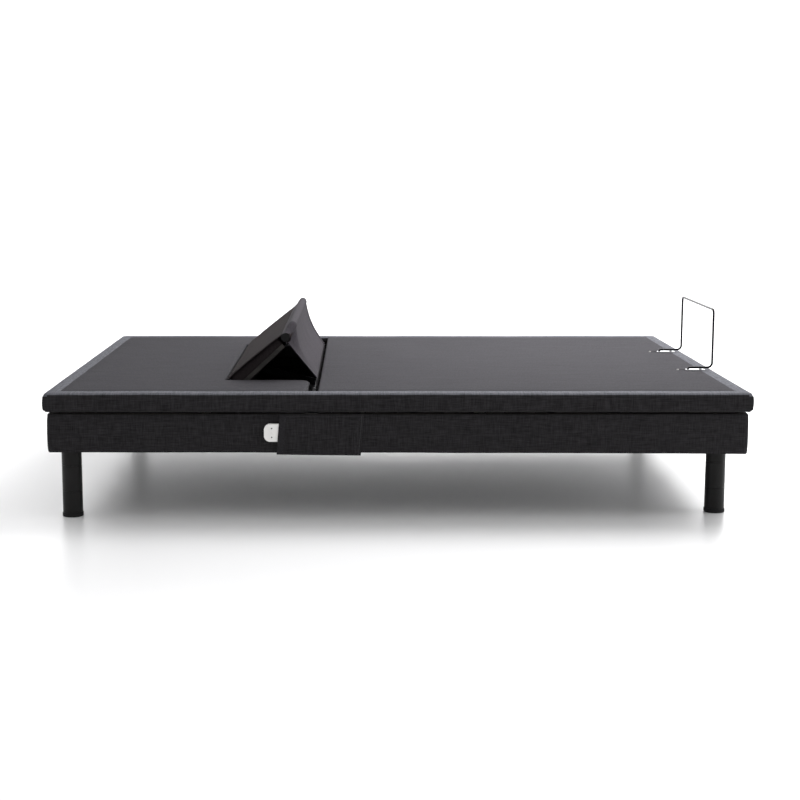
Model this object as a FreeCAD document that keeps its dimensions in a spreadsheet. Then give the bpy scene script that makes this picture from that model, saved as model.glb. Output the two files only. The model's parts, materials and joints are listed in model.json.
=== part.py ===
import FreeCAD, Part
import os
import re

import Sketcher

# Adjustable bed base, queen size, in millimetres.
# Frame: +X towards the foot end, +Y away from the side with the remote pocket,
# +Z up.  The origin is on the floor, under the middle of the deck.
# The four deck sections are hinged in a row: head, seat, thigh and foot.  The
# seat is fixed to the frame.  The lumbar panel is hinged in the head section.

DRIVING_SIZES = {
    # deck
    "deck_length": 2030, "deck_width": 1520, "deck_top": 371, "deck_bottom": 316.5,
    "board_thickness": 16, "skirt": 6, "corner_radius": 14,
    "head_length": 752, "head_gap": 32, "seat_length": 266, "thigh_gap": 20,
    "thigh_length": 372, "knee_gap": 16, "hinge_height": 345, "knee_height": 322,
    # lumbar notch and panel
    "notch_depth": 255, "notch_width": 940, "lumbar_axis_in": 7,
    "lumbar_height": 363, "lumbar_angle": 39, "lumbar_width": 926, "panel_start": 5.2,
    "panel_end": 208, "panel_rise": 8, "panel_root": 40, "panel_tip": 27,
    "panel_board": 12, "bar_along": 223, "bar_drop": 5, "bar_radius": 12, "cap_radius": 13.5,
    "roll_along": 257, "roll_lift": 6, "roll_radius": 11, "sling_thickness": 2,
    "sling_width": 900, "sling_rod_radius": 4.5, "sling_rod_height": 328,
    "hanger_width": 10, "hanger_thickness": 3, "hanger_length": 80, "bar_wall": 2,
    # lumbar hinge and drive
    "lumbar_eye": 4.5, "lumbar_pin": 2, "lumbar_strap": 3, "lumbar_pin_drop": 78,
    "lumbar_motor_back": 300, "lumbar_case_length": 96, "lumbar_case_width": 66,
    "lumbar_case_height": 50, "lumbar_tube_radius": 15, "lumbar_tube_bore": 11,
    "lumbar_tube_length": 165, "lumbar_rod_radius": 8, "lumbar_rod_length": 180,
    # upholstered box and frame
    "box_inset": 8, "box_bottom": 198, "box_top": 310.5, "cover_thickness": 5,
    "box_corner": 12, "dust_sheet": 1.5, "box_board": 16,
    "rail_bottom": 262, "rail_height": 40, "rail_width": 30,
    "rail_wall": 2, "cross_height": 40, "cross_width": 34, "seat_tube_width": 36,
    # legs
    "leg_radius": 29, "leg_in_head": 66, "leg_side_head": 70, "leg_in_foot": 74,
    "leg_side_foot": 125, "glide_height": 12, "glide_radius": 30.5, "lower_top": 75,
    "middle_top": 152, "plate_size": 72, "plate_thickness": 5, "stud_radius": 5,
    # hinge lugs
    "lug_thickness": 5, "lug_play": 0.4, "eye_radius": 8, "knee_eye_radius": 5.5,
    "pin_radius": 3, "pin_head_radius": 5, "pin_head": 1.6, "running_gap": 0.05, "knee_slot": 7,
    "strap_length": 70, "strap_width": 30, "strap_thickness": 4,
    # lift frames: a torsion tube with two arms, a roller on each and a crank
    "lift_height": 295.7, "lift_back": 80, "lift_tube_radius": 16, "lift_reach": 640,
    "head_arm": 400, "thigh_arm": 280, "arm_bend": 78, "head_arm_drop": 82,
    "thigh_arm_drop": 50, "arm_side": 560, "arm_depth": 24, "arm_thick": 10,
    "roller_radius": 17.2, "roller_width": 18, "axle_radius": 6, "runner_thickness": 3,
    "crank_drop": 72, "crank_slot": 7, "crank_wall": 7, "crank_half": 11, "crank_ear": 6,
    "head_crank_angle": 23.22, "thigh_crank_angle": 12.85, "motor_side": 150,
    "bearing_depth": 49, "bearing_width": 46, "bearing_top": 311,
    # motors
    "tube_radius": 18, "tube_bore": 15, "rod_radius": 10, "rod_pin_radius": 6,
    "rod_show": 78, "rod_inside": 90,
    "motor_block": 90, "motor_width": 70, "motor_floor": 200, "motor_top": 266,
    "motor_can_radius": 30, "motor_can_length": 96, "head_motor_x": 300,
    "thigh_motor_x": -500, "clevis_reach": 40,
    # foot links
    "link_pivot_x": 384.2, "link_pivot_z": 290, "link_length": 296.1, "link_side": 612,
    "link_rise": -2.29, "link_depth": 22, "link_thick": 8, "link_pin_radius": 5,
    # retainer bar
    "wire_radius": 3.3, "wire_bend": 15, "bar_half": 241, "post_in": 4.5, "foot_run": 77,
    "foot_lift": 8, "bar_height": 195, "stem_length": 78,
    # remote and its pocket
    "pocket_start": -345, "pocket_length": 245, "pocket_bottom": 193, "pocket_height": 120,
    "pocket_wall": 2.5, "pocket_room": 14.6, "remote_length": 150, "remote_out": 38,
    "remote_bottom": 233, "remote_height": 51, "remote_thickness": 14, "remote_radius": 17,
    "shell_wall": 1.8, "button_radius": 2, "button_apart": 13, "lens_radius": 1.2, "key_length": 22,
    "key_height": 28, "key_thickness": 2.2, "key_recess": 0.8, "key_gap": 0.6,
    # fasteners and control box
    "bolt_radius": 4, "bolt_clearance": 0.2, "screw_radius": 2.2, "screw_hole": 2.3, "screw_in": 40,
    "case_start": -118, "case_side": 200, "case_length": 84, "case_width": 200, "case_height": 46,
}

FUNCTIONS = ("sin", "cos", "tan", "abs", "sqrt", "atan2")

doc = FreeCAD.newDocument("adjustable_bed_base")
sheet = doc.addObject("Spreadsheet::Sheet", "Sizes")
for row, (alias, value) in enumerate(DRIVING_SIZES.items(), start=1):
    sheet.set(f"A{row}", alias)
    sheet.set(f"B{row}", str(value))
    sheet.setAlias(f"B{row}", alias)
doc.recompute()

SUBPARTS = []


# ---------------------------------------------------------------- helpers
def bound(formula):
    """Turn a formula in sheet aliases into an expression on the sheet."""
    def alias(match):
        word = match.group(0)
        return word if word in FUNCTIONS else "Sizes." + word
    return re.sub(r"[a-z][a-z_0-9]*", alias, str(formula))


def amount(formula):
    """The formula's present value."""
    return float(sheet.evalExpression(bound(formula)))


def bind(item, **formulas):
    for name, formula in formulas.items():
        item.setExpression(name, bound(formula))
    return item


def place(item, x=0, y=0, z=0, axis=None, angle=0):
    """Put an object at x, y, z, turned by angle about axis."""
    turn = FreeCAD.Rotation(FreeCAD.Vector(axis), 10) if axis else FreeCAD.Rotation()
    item.Placement = FreeCAD.Placement(FreeCAD.Vector(), turn)
    for letter, formula in (("x", x), ("y", y), ("z", z)):
        item.setExpression("Placement.Base." + letter, bound(formula))
    if axis:
        item.setExpression("Placement.Rotation.Angle", bound(angle))
    return item


def block(x, y, z, length, width, height):
    """A box from its low corner."""
    item = bind(doc.addObject("Part::Box", "block"), Length=length, Width=width, Height=height)
    return place(item, x, y, z)


def centred(x, y, z, length, width, height):
    """A box centred on x and y, standing on z."""
    return block(f"({x})-({length})/2", f"({y})-({width})/2", z, length, width, height)


def post(x, y, z, radius, height):
    """An upright cylinder."""
    return place(bind(doc.addObject("Part::Cylinder", "post"), Radius=radius, Height=height), x, y, z)


def crosswise(x, y, z, radius, length):
    """A cylinder centred on y, with its axis along Y."""
    item = bind(doc.addObject("Part::Cylinder", "axle"), Radius=radius, Height=length)
    return place(item, x, f"({y})+({length})/2", z, axis=(1, 0, 0), angle=90)


def lengthwise(x, y, z, radius, length):
    """A cylinder from x towards +X."""
    item = bind(doc.addObject("Part::Cylinder", "rod"), Radius=radius, Height=length)
    return place(item, x, y, z, axis=(0, 1, 0), angle=90)


def fused(*items):
    result = doc.addObject("Part::MultiFuse", "weld")
    result.Shapes = list(items)
    return result


def cut(base, *tools):
    result = doc.addObject("Part::Cut", "cut")
    result.Base = base
    result.Tool = tools[0] if len(tools) == 1 else fused(*tools)
    return result


def rounded(base, radius, keep):
    """Round the edges of base that keep() chooses."""
    doc.recompute()
    result = doc.addObject("Part::Fillet", "rounded")
    result.Base = base
    size = amount(radius)
    result.Edges = [(n, size, size) for n, edge in enumerate(base.Shape.Edges, start=1) if keep(edge)]
    return result


def subpart(name, *items):
    """Name a sub-part; several items are a group of separate solids."""
    if len(items) == 1:
        result = items[0]
    else:
        result = doc.addObject("Part::Compound", name)
        result.Links = list(items)
    result.Label = name
    SUBPARTS.append(result)
    return result


def along(edge, direction):
    """True for a straight edge along the given axis."""
    line = edge.Vertexes[-1].Point - edge.Vertexes[0].Point
    return line.Length > 1 and abs(abs(line.normalize().dot(FreeCAD.Vector(direction))) - 1) < 1e-6


def origin_plane(body, role):
    return next(item for item in body.Origin.OriginFeatures if item.Role == role)


def polygon_sketch(body, name, role, corners):
    """A closed outline whose corners are bound to formulas."""
    sketch = body.newObject("Sketcher::SketchObject", name)
    sketch.AttachmentSupport = [(origin_plane(body, role), "")]
    sketch.MapMode = "FlatFace"
    points = [FreeCAD.Vector(amount(across), amount(up), 0) for across, up in corners]
    count = len(points)
    for n in range(count):
        sketch.addGeometry(Part.LineSegment(points[n], points[(n + 1) % count]), False)
    for n in range(count):
        sketch.addConstraint(Sketcher.Constraint("Coincident", n, 2, (n + 1) % count, 1))
    for n, (across, up) in enumerate(corners):
        for kind, formula, value in (("DistanceX", across, points[n].x), ("DistanceY", up, points[n].y)):
            index = sketch.addConstraint(Sketcher.Constraint(kind, -1, 1, n, 1, value))
            sketch.setExpression(f"Constraints[{index}]", bound(formula))
    return sketch


def prism(name, role, corners, length, middle=False, lift=0):
    """A body with one pad of a polygon; an XY outline is lifted to lift."""
    body = doc.addObject("PartDesign::Body", name)
    pad = body.newObject("PartDesign::Pad", name + "_pad")
    pad.Profile = polygon_sketch(body, name + "_outline", role, corners)
    pad.Midplane = middle
    pad.setExpression("Length", bound(length))
    body.Tip = pad
    place(body, z=lift)
    doc.recompute()
    return body


def pocket(body, name, role, corners, length, middle=False):
    """Cut a polygon out of a body, and make sure that it took material away."""
    before = body.Shape.Volume
    cutter = body.newObject("PartDesign::Pocket", name)
    cutter.Profile = polygon_sketch(body, name + "_outline", role, corners)
    cutter.Midplane = middle
    cutter.Reversed = not middle
    cutter.setExpression("Length", bound(length))
    body.Tip = cutter
    doc.recompute()
    if body.Shape.Volume >= before - 1:
        raise RuntimeError(name + " removed nothing")


def round_body(body, name, radius, keep):
    edges = [f"Edge{n}" for n, edge in enumerate(body.Shape.Edges, start=1) if keep(edge)]
    sharp = body.Tip
    fillet = body.newObject("PartDesign::Fillet", name)
    fillet.Base = (sharp, edges)
    fillet.setExpression("Radius", bound(radius))
    body.Tip = fillet
    doc.recompute()


# Places worked out from the driving sizes
HEAD_END = "-deck_length/2"
HEAD_EDGE = f"({HEAD_END}+head_length)"
SEAT_START = f"({HEAD_EDGE}+head_gap)"
SEAT_END = f"({SEAT_START}+seat_length)"
THIGH_START = f"({SEAT_END}+thigh_gap)"
THIGH_END = f"({THIGH_START}+thigh_length)"
FOOT_START = f"({THIGH_END}+knee_gap)"
FOOT_END = "deck_length/2"
HEAD_HINGE = f"({HEAD_EDGE}+head_gap/2)"
THIGH_HINGE = f"({SEAT_END}+thigh_gap/2)"
KNEE_HINGE = f"({THIGH_END}+knee_gap/2)"
NOTCH_EDGE = f"({HEAD_EDGE}-notch_depth)"
LUMBAR_AXIS = f"({NOTCH_EDGE}+lumbar_axis_in)"
HALF = "deck_width/2"
BAND = "(deck_top-deck_bottom)"
BOX_HALF_X = "(deck_length/2-box_inset)"
BOX_HALF_Y = "(deck_width/2-box_inset)"
RAIL_OUT_Y = f"({BOX_HALF_Y}-cover_thickness-box_board-2)"
RAIL_IN_Y = f"({RAIL_OUT_Y}-rail_width)"
RAIL_OUT_X = f"({BOX_HALF_X}-cover_thickness-box_board-2)"
HEAD_LIFT = f"({HEAD_HINGE}+lift_back)"
THIGH_LIFT = f"({THIGH_HINGE}-lift_back)"
CRANK_PIN = "(lift_height-crank_drop)"
STEM_X = "(deck_length/2-post_in-foot_run)"


# ---------------------------------------------------------------- deck sections
def deck_outline(start, end, inset_start, inset_end, inset_side):
    """A section's rectangle in plan, pulled in by the given insets."""
    low, high, side = f"{start}+{inset_start}", f"{end}-{inset_end}", f"({HALF}-{inset_side})"
    return [(low, f"-{side}"), (high, f"-{side}"), (high, side), (low, side)]


def notched_outline(inset, notch_inset):
    """The head section in plan, with the lumbar notch in its lower end."""
    start, end, side = f"{HEAD_END}+{inset}", f"{HEAD_EDGE}-{notch_inset}", f"({HALF}-{inset})"
    notch_side, notch_end = f"(notch_width/2+{notch_inset})", f"{NOTCH_EDGE}-{notch_inset}"
    return [(start, f"-{side}"), (end, f"-{side}"), (end, f"-{notch_side}"), (notch_end, f"-{notch_side}"),
            (notch_end, notch_side), (end, notch_side), (end, side), (start, side)]


def deck_section(name, pad_outline, board_outline, outer_corner):
    """A plywood board in the underside of a foam pad with a fabric skirt."""
    pad = prism(name + "_pad_body", "XY_Plane", pad_outline, BAND, lift="deck_bottom")
    if outer_corner:
        round_body(pad, name + "_corners", "corner_radius",
                   lambda e: along(e, (0, 0, 1)) and outer_corner(e.CenterOfMass))
    pocket(pad, name + "_tray", "XY_Plane", board_outline, "board_thickness")
    board = prism(name + "_board_body", "XY_Plane", board_outline, "board_thickness", lift="deck_bottom")
    return pad, board


def at_outer_corner(point):
    return abs(point.x) > amount("deck_length/2") - 1 and abs(point.y) > amount(HALF) - 1


def head_section():
    pad, board = deck_section(
        "head", notched_outline("0", "0"), notched_outline("skirt", "4"), at_outer_corner)
    subpart("head_pad", pad)
    subpart("head_board", board)


def seat_section():
    pad, board = deck_section(
        "seat", deck_outline(SEAT_START, SEAT_END, 0, 0, 0),
        deck_outline(SEAT_START, SEAT_END, 0, 0, "skirt"), None)
    subpart("seat_pad", pad)
    holes = [post(x, y, "deck_bottom-1", "bolt_radius+bolt_clearance", "board_thickness+2")
             for x, y in seat_bolt_places()]
    subpart("seat_board", cut(board, *holes))


def knee_slots(edge, ear):
    """Room in a board's edge for the other section's ears, which turn into it."""
    return [block(f"{edge}-knee_slot", f"{y}{ear}-1", "deck_bottom-1", "2*knee_slot", "lug_thickness+2",
                  "board_thickness+2") for y in KNEE_HINGE_SIDES]


def thigh_section():
    pad, board = deck_section(
        "thigh", deck_outline(THIGH_START, THIGH_END, 0, 0, 0),
        deck_outline(THIGH_START, THIGH_END, 0, 0, "skirt"), None)
    subpart("thigh_pad", pad)
    subpart("thigh_board", cut(board, fused(*knee_slots(THIGH_END, SECOND_EAR))))


def foot_section():
    pad, board = deck_section(
        "foot", deck_outline(FOOT_START, FOOT_END, 0, 0, 0),
        deck_outline(FOOT_START, FOOT_END, 0, "skirt", "skirt"), at_outer_corner)
    holes = [post(STEM_X, y, "deck_bottom-1", "wire_radius+0.3", BAND + "+2")
             for y in ("-bar_half", "bar_half")]
    screws = [post(f"{STEM_X}+screw_in", y, "deck_bottom-1", "screw_hole", BAND + "+2")
              for y in ("-bar_half", "bar_half")]
    subpart("foot_pad", cut(pad, fused(*holes, *screws)))
    subpart("foot_board", cut(board, fused(*holes, *screws, *knee_slots(FOOT_START, ""))))


# ---------------------------------------------------------------- hinges between sections
def lug(axis_x, axis_z, side, towards, radius, hole, gap):
    """A strap under a board, with an upright ear whose eye is on the hinge axis.

    side is the y of the ear's near face; towards is -1 where the strap runs
    to the head end and 1 where it runs to the foot end.  The strap ends with
    its board, at half the gap from the axis.
    """
    strap_low = "(deck_bottom-strap_thickness)"
    strap_x = f"{axis_x}-strap_length" if towards < 0 else f"{axis_x}+{gap}/2"
    strap_y = f"{side}-(strap_width-lug_thickness)" if towards < 0 else side
    strap = block(strap_x, strap_y, strap_low, f"strap_length-{gap}/2", "strap_width", "strap_thickness")
    foot_x = f"{axis_x}-{gap}/2-2" if towards < 0 else f"{axis_x}-{radius}"
    foot = block(foot_x, side, strap_low, f"{radius}+{gap}/2+2", "lug_thickness", "strap_thickness")
    neck = block(f"{axis_x}-{radius}", side, strap_low, f"2*{radius}", "lug_thickness",
                 f"{axis_z}-{strap_low}")
    eye = crosswise(axis_x, f"{side}+lug_thickness/2", axis_z, radius, "lug_thickness")
    bore = crosswise(axis_x, f"{side}+lug_thickness/2", axis_z, hole, "3*lug_thickness")
    return cut(fused(strap, foot, neck, eye), bore)


def hinge_pin(axis_x, axis_z, side, hole_radius):
    """A headed pin through a pair of ears; side is the first ear's near face."""
    span = "(2*lug_thickness+lug_play)"
    middle = f"{side}+{span}/2"
    shank = crosswise(axis_x, middle, axis_z, hole_radius, span)
    near = crosswise(axis_x, f"{side}-pin_head/2-0.1", axis_z, "pin_head_radius", "pin_head")
    near_neck = crosswise(axis_x, f"{side}-0.1", axis_z, hole_radius, "0.4")
    far = crosswise(axis_x, f"{side}+{span}+pin_head/2", axis_z, "pin_head_radius", "pin_head")
    return fused(shank, near, near_neck, far)


HEAD_HINGE_SIDES = ("-700", "-520", "510", "690")
THIGH_HINGE_SIDES = ("-690", "-300", "290", "680")
KNEE_HINGE_SIDES = ("-690", "-250", "240", "680")
SECOND_EAR = "+lug_thickness+lug_play"


def section_hinges():
    """Head to seat, seat to thigh and thigh to foot."""
    loose, tight = "pin_radius+running_gap", "pin_radius"
    head, thigh = (HEAD_HINGE, "hinge_height"), (THIGH_HINGE, "hinge_height")
    knee = (KNEE_HINGE, "knee_height")
    head_ears = [lug(*head, y, -1, "eye_radius", loose, "head_gap") for y in HEAD_HINGE_SIDES]
    subpart("head_hinge_lugs", *head_ears)
    seat_ears = [lug(*head, y + SECOND_EAR, 1, "eye_radius", tight, "head_gap") for y in HEAD_HINGE_SIDES]
    seat_ears += [lug(*thigh, y, -1, "eye_radius", tight, "thigh_gap") for y in THIGH_HINGE_SIDES]
    subpart("seat_hinge_lugs", *seat_ears)
    thigh_ears = [lug(*thigh, y + SECOND_EAR, 1, "eye_radius", loose, "thigh_gap")
                  for y in THIGH_HINGE_SIDES]
    thigh_ears += [lug(*knee, y, -1, "knee_eye_radius", tight, "knee_gap") for y in KNEE_HINGE_SIDES]
    subpart("thigh_hinge_lugs", *thigh_ears)
    foot_ears = [lug(*knee, y + SECOND_EAR, 1, "knee_eye_radius", loose, "knee_gap")
                 for y in KNEE_HINGE_SIDES]
    pins = [hinge_pin(HEAD_HINGE, "hinge_height", y, "pin_radius") for y in HEAD_HINGE_SIDES]
    pins += [hinge_pin(THIGH_HINGE, "hinge_height", y, "pin_radius") for y in THIGH_HINGE_SIDES]
    subpart("seat_hinge_pins", *pins)
    subpart("knee_pins", *[hinge_pin(KNEE_HINGE, "knee_height", y, "pin_radius") for y in KNEE_HINGE_SIDES])
    return foot_ears


# ---------------------------------------------------------------- lumbar panel
def turned_with_panel(item):
    """Carry a piece drawn flat about the lumbar axis to the raised position."""
    return place(item, LUMBAR_AXIS, 0, "lumbar_height", axis=(0, -1, 0), angle="lumbar_angle")


def raised_point(along_panel, above):
    """The raised place of a point given along and above the flat panel."""
    x = f"({LUMBAR_AXIS}+({along_panel})*cos(lumbar_angle)-({above})*sin(lumbar_angle))"
    z = f"(lumbar_height+({along_panel})*sin(lumbar_angle)+({above})*cos(lumbar_angle))"
    return x, z


def lumbar_panel():
    board_line = [("skirt+panel_start", "-panel_root"), ("panel_end-skirt", "-panel_tip"),
                  ("panel_end-skirt", "panel_board-panel_tip"),
                  ("skirt+panel_start", "panel_board-panel_root")]
    tray_line = [("skirt+panel_start", "-panel_root-9"), ("panel_end-skirt", "-panel_tip-9"),
                 board_line[2], board_line[3]]
    pad = prism("lumbar_pad", "XZ_Plane",
                [("panel_start", "-panel_root"), ("panel_end", "-panel_tip"),
                 ("panel_end", "panel_rise"), ("panel_start", "panel_rise")], "lumbar_width", middle=True)
    pocket(pad, "lumbar_tray", "XZ_Plane", tray_line, "lumbar_width-2*skirt", middle=True)
    subpart("lumbar_pad", turned_with_panel(pad))
    board = prism("lumbar_board", "XZ_Plane", board_line, "lumbar_width-2*skirt", middle=True)
    subpart("lumbar_board", turned_with_panel(board))


def lumbar_bar():
    """The tube along the panel's tip, on three tabs screwed under the board."""
    x, z = raised_point("bar_along", "-bar_drop")
    tube = cut(crosswise(x, 0, z, "bar_radius", "lumbar_width-8"),
               crosswise(x, 0, z, "bar_radius-bar_wall", "lumbar_width"))
    subpart("lumbar_bar_caps", *[crosswise(x, f"{sign}*(lumbar_width/2-1)", z, "cap_radius", 6)
                                 for sign in (-1, 1)])
    tabs = []
    for y in (-380, 0, 380):
        tab = prism("bar_tab", "XZ_Plane",
                    [("panel_end-60", "-panel_tip-7.2"), ("panel_end+10", "-panel_tip-4.5"),
                     ("bar_along+3", "-bar_drop-bar_radius+1"), ("bar_along-5", "-bar_drop-bar_radius+1"),
                     ("panel_end+4", "-panel_tip"), ("panel_end-60", "-panel_tip-3.7")], 34, middle=True)
        turned_with_panel(tab)
        tab.setExpression("Placement.Base.y", str(y))
        tabs.append(tab)
    subpart("lumbar_bar", fused(tube, *tabs))


def lumbar_sling():
    """Thin cloth from a hemmed roll at the panel's tip down to the sling rod."""
    roll_x, roll_z = raised_point("roll_along", "roll_lift")
    foot_x, foot_z = f"({HEAD_HINGE}+sling_rod_radius+0.6)", "sling_rod_height"
    sheet_line = [(f"{roll_x}+6", f"{roll_z}-2"), (f"{roll_x}+6+sling_thickness", f"{roll_z}-2"),
                  (f"{foot_x}-6+sling_thickness", "deck_top+40"), (f"{foot_x}+sling_thickness", foot_z),
                  (foot_x, foot_z), (f"{foot_x}-6", "deck_top+40")]
    cloth = prism("sling_cloth", "XZ_Plane", sheet_line, "sling_width", middle=True)
    roll = crosswise(roll_x, 0, roll_z, "roll_radius", "lumbar_width")
    subpart("lumbar_sling", fused(cloth, roll))


def sling_rod():
    """The rod the sling is sewn round, held by a hanger at each side of the notch."""
    inner = "(notch_width/2+4)"
    parts = [crosswise(HEAD_HINGE, 0, "sling_rod_height", "sling_rod_radius", f"2*{inner}+14")]
    for sign in (-1, 1):
        low_y = inner if sign > 0 else f"(-{inner}-hanger_width)"
        ear_y = f"{sign}*({inner}+hanger_width/2)"
        parts.append(block(f"{HEAD_HINGE}-hanger_length", low_y, "deck_bottom-hanger_thickness",
                           "hanger_length+6", "hanger_width", "hanger_thickness"))
        parts.append(centred(HEAD_HINGE, ear_y, "deck_bottom-hanger_thickness", 12, 5,
                             "sling_rod_height-deck_bottom+hanger_thickness"))
        parts.append(crosswise(HEAD_HINGE, ear_y, "sling_rod_height", 7, 5))
    subpart("sling_rod", fused(*parts))


LUMBAR_HINGE_SIDES = ("-420", "-120", "110", "410")


def under_board(along_panel):
    """Height of the panel board's underside at a place along the flat panel."""
    slope = "(panel_root-panel_tip)/(panel_end-panel_start-2*skirt)"
    return f"-panel_root+({along_panel}-panel_start-skirt)*{slope}"


def lumbar_hinge():
    """Ears on the head board's notch edge, and ears under the panel's root."""
    fixed, moving, pins = [], [], []
    strap_low = "(deck_bottom-lumbar_strap)"
    for side in LUMBAR_HINGE_SIDES:
        middle = f"{side}+lug_thickness/2"
        strap = block(f"{LUMBAR_AXIS}-60", f"{side}-20", strap_low, "60-lumbar_axis_in+4.2", 25,
                      "lumbar_strap")
        neck = block(f"{LUMBAR_AXIS}-lumbar_eye", side, strap_low, "2*lumbar_eye", "lug_thickness",
                     f"lumbar_height-{strap_low}")
        foot = block(f"{LUMBAR_AXIS}-10", side, strap_low, 12, "lug_thickness", "lumbar_strap")
        eye = crosswise(LUMBAR_AXIS, middle, "lumbar_height", "lumbar_eye", "lug_thickness")
        bore = crosswise(LUMBAR_AXIS, middle, "lumbar_height", "lumbar_pin", "3*lug_thickness")
        fixed.append(cut(fused(strap, neck, foot, eye), bore))
        second = side + SECOND_EAR
        leaf = prism("panel_leaf", "XZ_Plane",
                     [("-lumbar_eye", "0"), ("-lumbar_eye", "-panel_root-lumbar_strap"),
                      ("60", under_board("60") + "-lumbar_strap"), ("60", under_board("60")),
                      ("panel_start+skirt", "-panel_root"), ("lumbar_eye+0.1", "-panel_root"),
                      ("lumbar_eye+0.1", "0")], "lug_thickness", middle=True)
        turned_with_panel(leaf)
        leaf.setExpression("Placement.Base.y", bound(f"{second}+lug_thickness/2"))
        eye = crosswise(LUMBAR_AXIS, f"{second}+lug_thickness/2", "lumbar_height", "lumbar_eye",
                        "lug_thickness")
        bore = crosswise(LUMBAR_AXIS, f"{second}+lug_thickness/2", "lumbar_height",
                         "lumbar_pin+running_gap", "3*lug_thickness")
        moving.append(cut(fused(leaf, eye), bore))
        pins.append(crosswise(LUMBAR_AXIS, f"{side}+lug_thickness+lug_play/2", "lumbar_height",
                              "lumbar_pin", "2*lug_thickness+lug_play"))
    subpart("lumbar_hinge_lugs", *fixed, *pins)
    return moving


LUMBAR_MOTOR_Z = "(lumbar_height-lumbar_pin_drop)"
LUMBAR_PIN_X = f"({LUMBAR_AXIS}+lumbar_pin_drop*tan(lumbar_angle/2))"


def lumbar_drive(leaves):
    """A small screw motor under the head board turns the panel by a slotted lever."""
    ears = []
    for side in (-15, 15):
        ear = prism("lever_ear", "XZ_Plane",
                    [("8", "-panel_root-1"), ("8", "-54"), ("-38", "-60"), ("-43", "-78"), ("-32", "-93"),
                     ("-16", "-90"), ("72", "-panel_root-3"), ("72", under_board("72")),
                     ("14", under_board("14"))],
                    6, middle=True)
        slot = prism("lever_slot", "XZ_Plane",
                     [("-32.7", "-68.6"), ("-21", "-68.6"), ("-21", "-83"), ("-32.7", "-83")],
                     20, middle=True)
        for piece in (ear, slot):
            turned_with_panel(piece)
            piece.setExpression("Placement.Base.y", str(side))
        ears.append(cut(ear, slot))
    subpart("lumbar_brackets", *leaves, *ears)
    motor_x = f"({LUMBAR_PIN_X}-lumbar_motor_back)"
    tube_start = f"({motor_x}+lumbar_case_length/2-1)"
    case = centred(motor_x, 0, "deck_bottom-8-lumbar_case_height", "lumbar_case_length",
                   "lumbar_case_width", "lumbar_case_height")
    mount = centred(motor_x, 0, "deck_bottom-9", 70, 50, 9)
    sleeve = cut(lengthwise(tube_start, 0, LUMBAR_MOTOR_Z, "lumbar_tube_radius", "lumbar_tube_length"),
                 lengthwise(f"{tube_start}+13", 0, LUMBAR_MOTOR_Z, "lumbar_tube_bore", "lumbar_tube_length"))
    saddle = cut(centred(f"{motor_x}+190", 0, f"{LUMBAR_MOTOR_Z}+6", 24, 40,
                         f"deck_bottom-{LUMBAR_MOTOR_Z}-6"),
                 lengthwise(f"{motor_x}+150", 0, LUMBAR_MOTOR_Z, "lumbar_tube_radius", 80))
    subpart("lumbar_motor", fused(case, mount), fused(sleeve, saddle))
    rod = lengthwise(f"{LUMBAR_PIN_X}-lumbar_rod_length", 0, LUMBAR_MOTOR_Z, "lumbar_rod_radius",
                     "lumbar_rod_length")
    eye = crosswise(LUMBAR_PIN_X, 0, LUMBAR_MOTOR_Z, "lumbar_rod_radius+1", 18)
    pin = crosswise(LUMBAR_PIN_X, 0, LUMBAR_MOTOR_Z, 4.5, 44)
    subpart("lumbar_motor_rod", fused(rod, eye, pin))


# ---------------------------------------------------------------- fixed frame
def hollow_tube(x, y, z, length, width, height, axis):
    """A square-cut tube of wall rail_wall, open along axis (0 for X, 1 for Y)."""
    outer = block(x, y, z, length, width, height)
    sizes = [f"{size}-2*rail_wall" for size in (length, width, height)]
    lows = [f"{low}+rail_wall" for low in (x, y, z)]
    sizes[axis] = f"{(length, width)[axis]}+2"
    lows[axis] = f"{(x, y)[axis]}-1"
    return cut(outer, block(*lows, *sizes))


def frame_tubes():
    inner_x = f"({RAIL_OUT_X}-rail_width)"
    long = [hollow_tube(f"-{inner_x}", y, "rail_bottom", f"2*{inner_x}", "rail_width", "rail_height", 0)
            for y in (f"-{RAIL_OUT_Y}", RAIL_IN_Y)]
    subpart("side_rails", *long)
    ends = [hollow_tube(x, f"-{RAIL_OUT_Y}", "rail_bottom", "rail_width", f"2*{RAIL_OUT_Y}",
                        "rail_height", 1)
            for x in (f"-{RAIL_OUT_X}", inner_x)]
    subpart("end_rails", *ends)
    seat_tubes = [hollow_tube(f"{x}", f"-{RAIL_IN_Y}", "deck_bottom-cross_height", "seat_tube_width",
                              f"2*{RAIL_IN_Y}", "cross_height", 1) for x in seat_tube_starts()]
    holes = [post(x, y, "deck_bottom-cross_height-1", "bolt_radius+bolt_clearance", "cross_height+2")
             for x, y in seat_bolt_places()]
    subpart("seat_cross_tubes", cut(seat_tubes[0], fused(*holes[:2])),
            cut(seat_tubes[1], fused(*holes[2:])))
    motor_tubes = [hollow_tube(x, f"-{RAIL_OUT_Y}", "rail_bottom-cross_height", "cross_width",
                               f"2*{RAIL_OUT_Y}", "cross_height", 1)
                   for x in ("head_motor_x", "thigh_motor_x-cross_width")]
    subpart("motor_cross_tubes", *motor_tubes)


def seat_tube_starts():
    return (f"({HEAD_LIFT}+24)", f"({THIGH_LIFT}-24-seat_tube_width)")


def seat_bolt_places():
    return [(f"{start}+seat_tube_width/2", y) for start in seat_tube_starts() for y in (-420, 420)]


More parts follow.
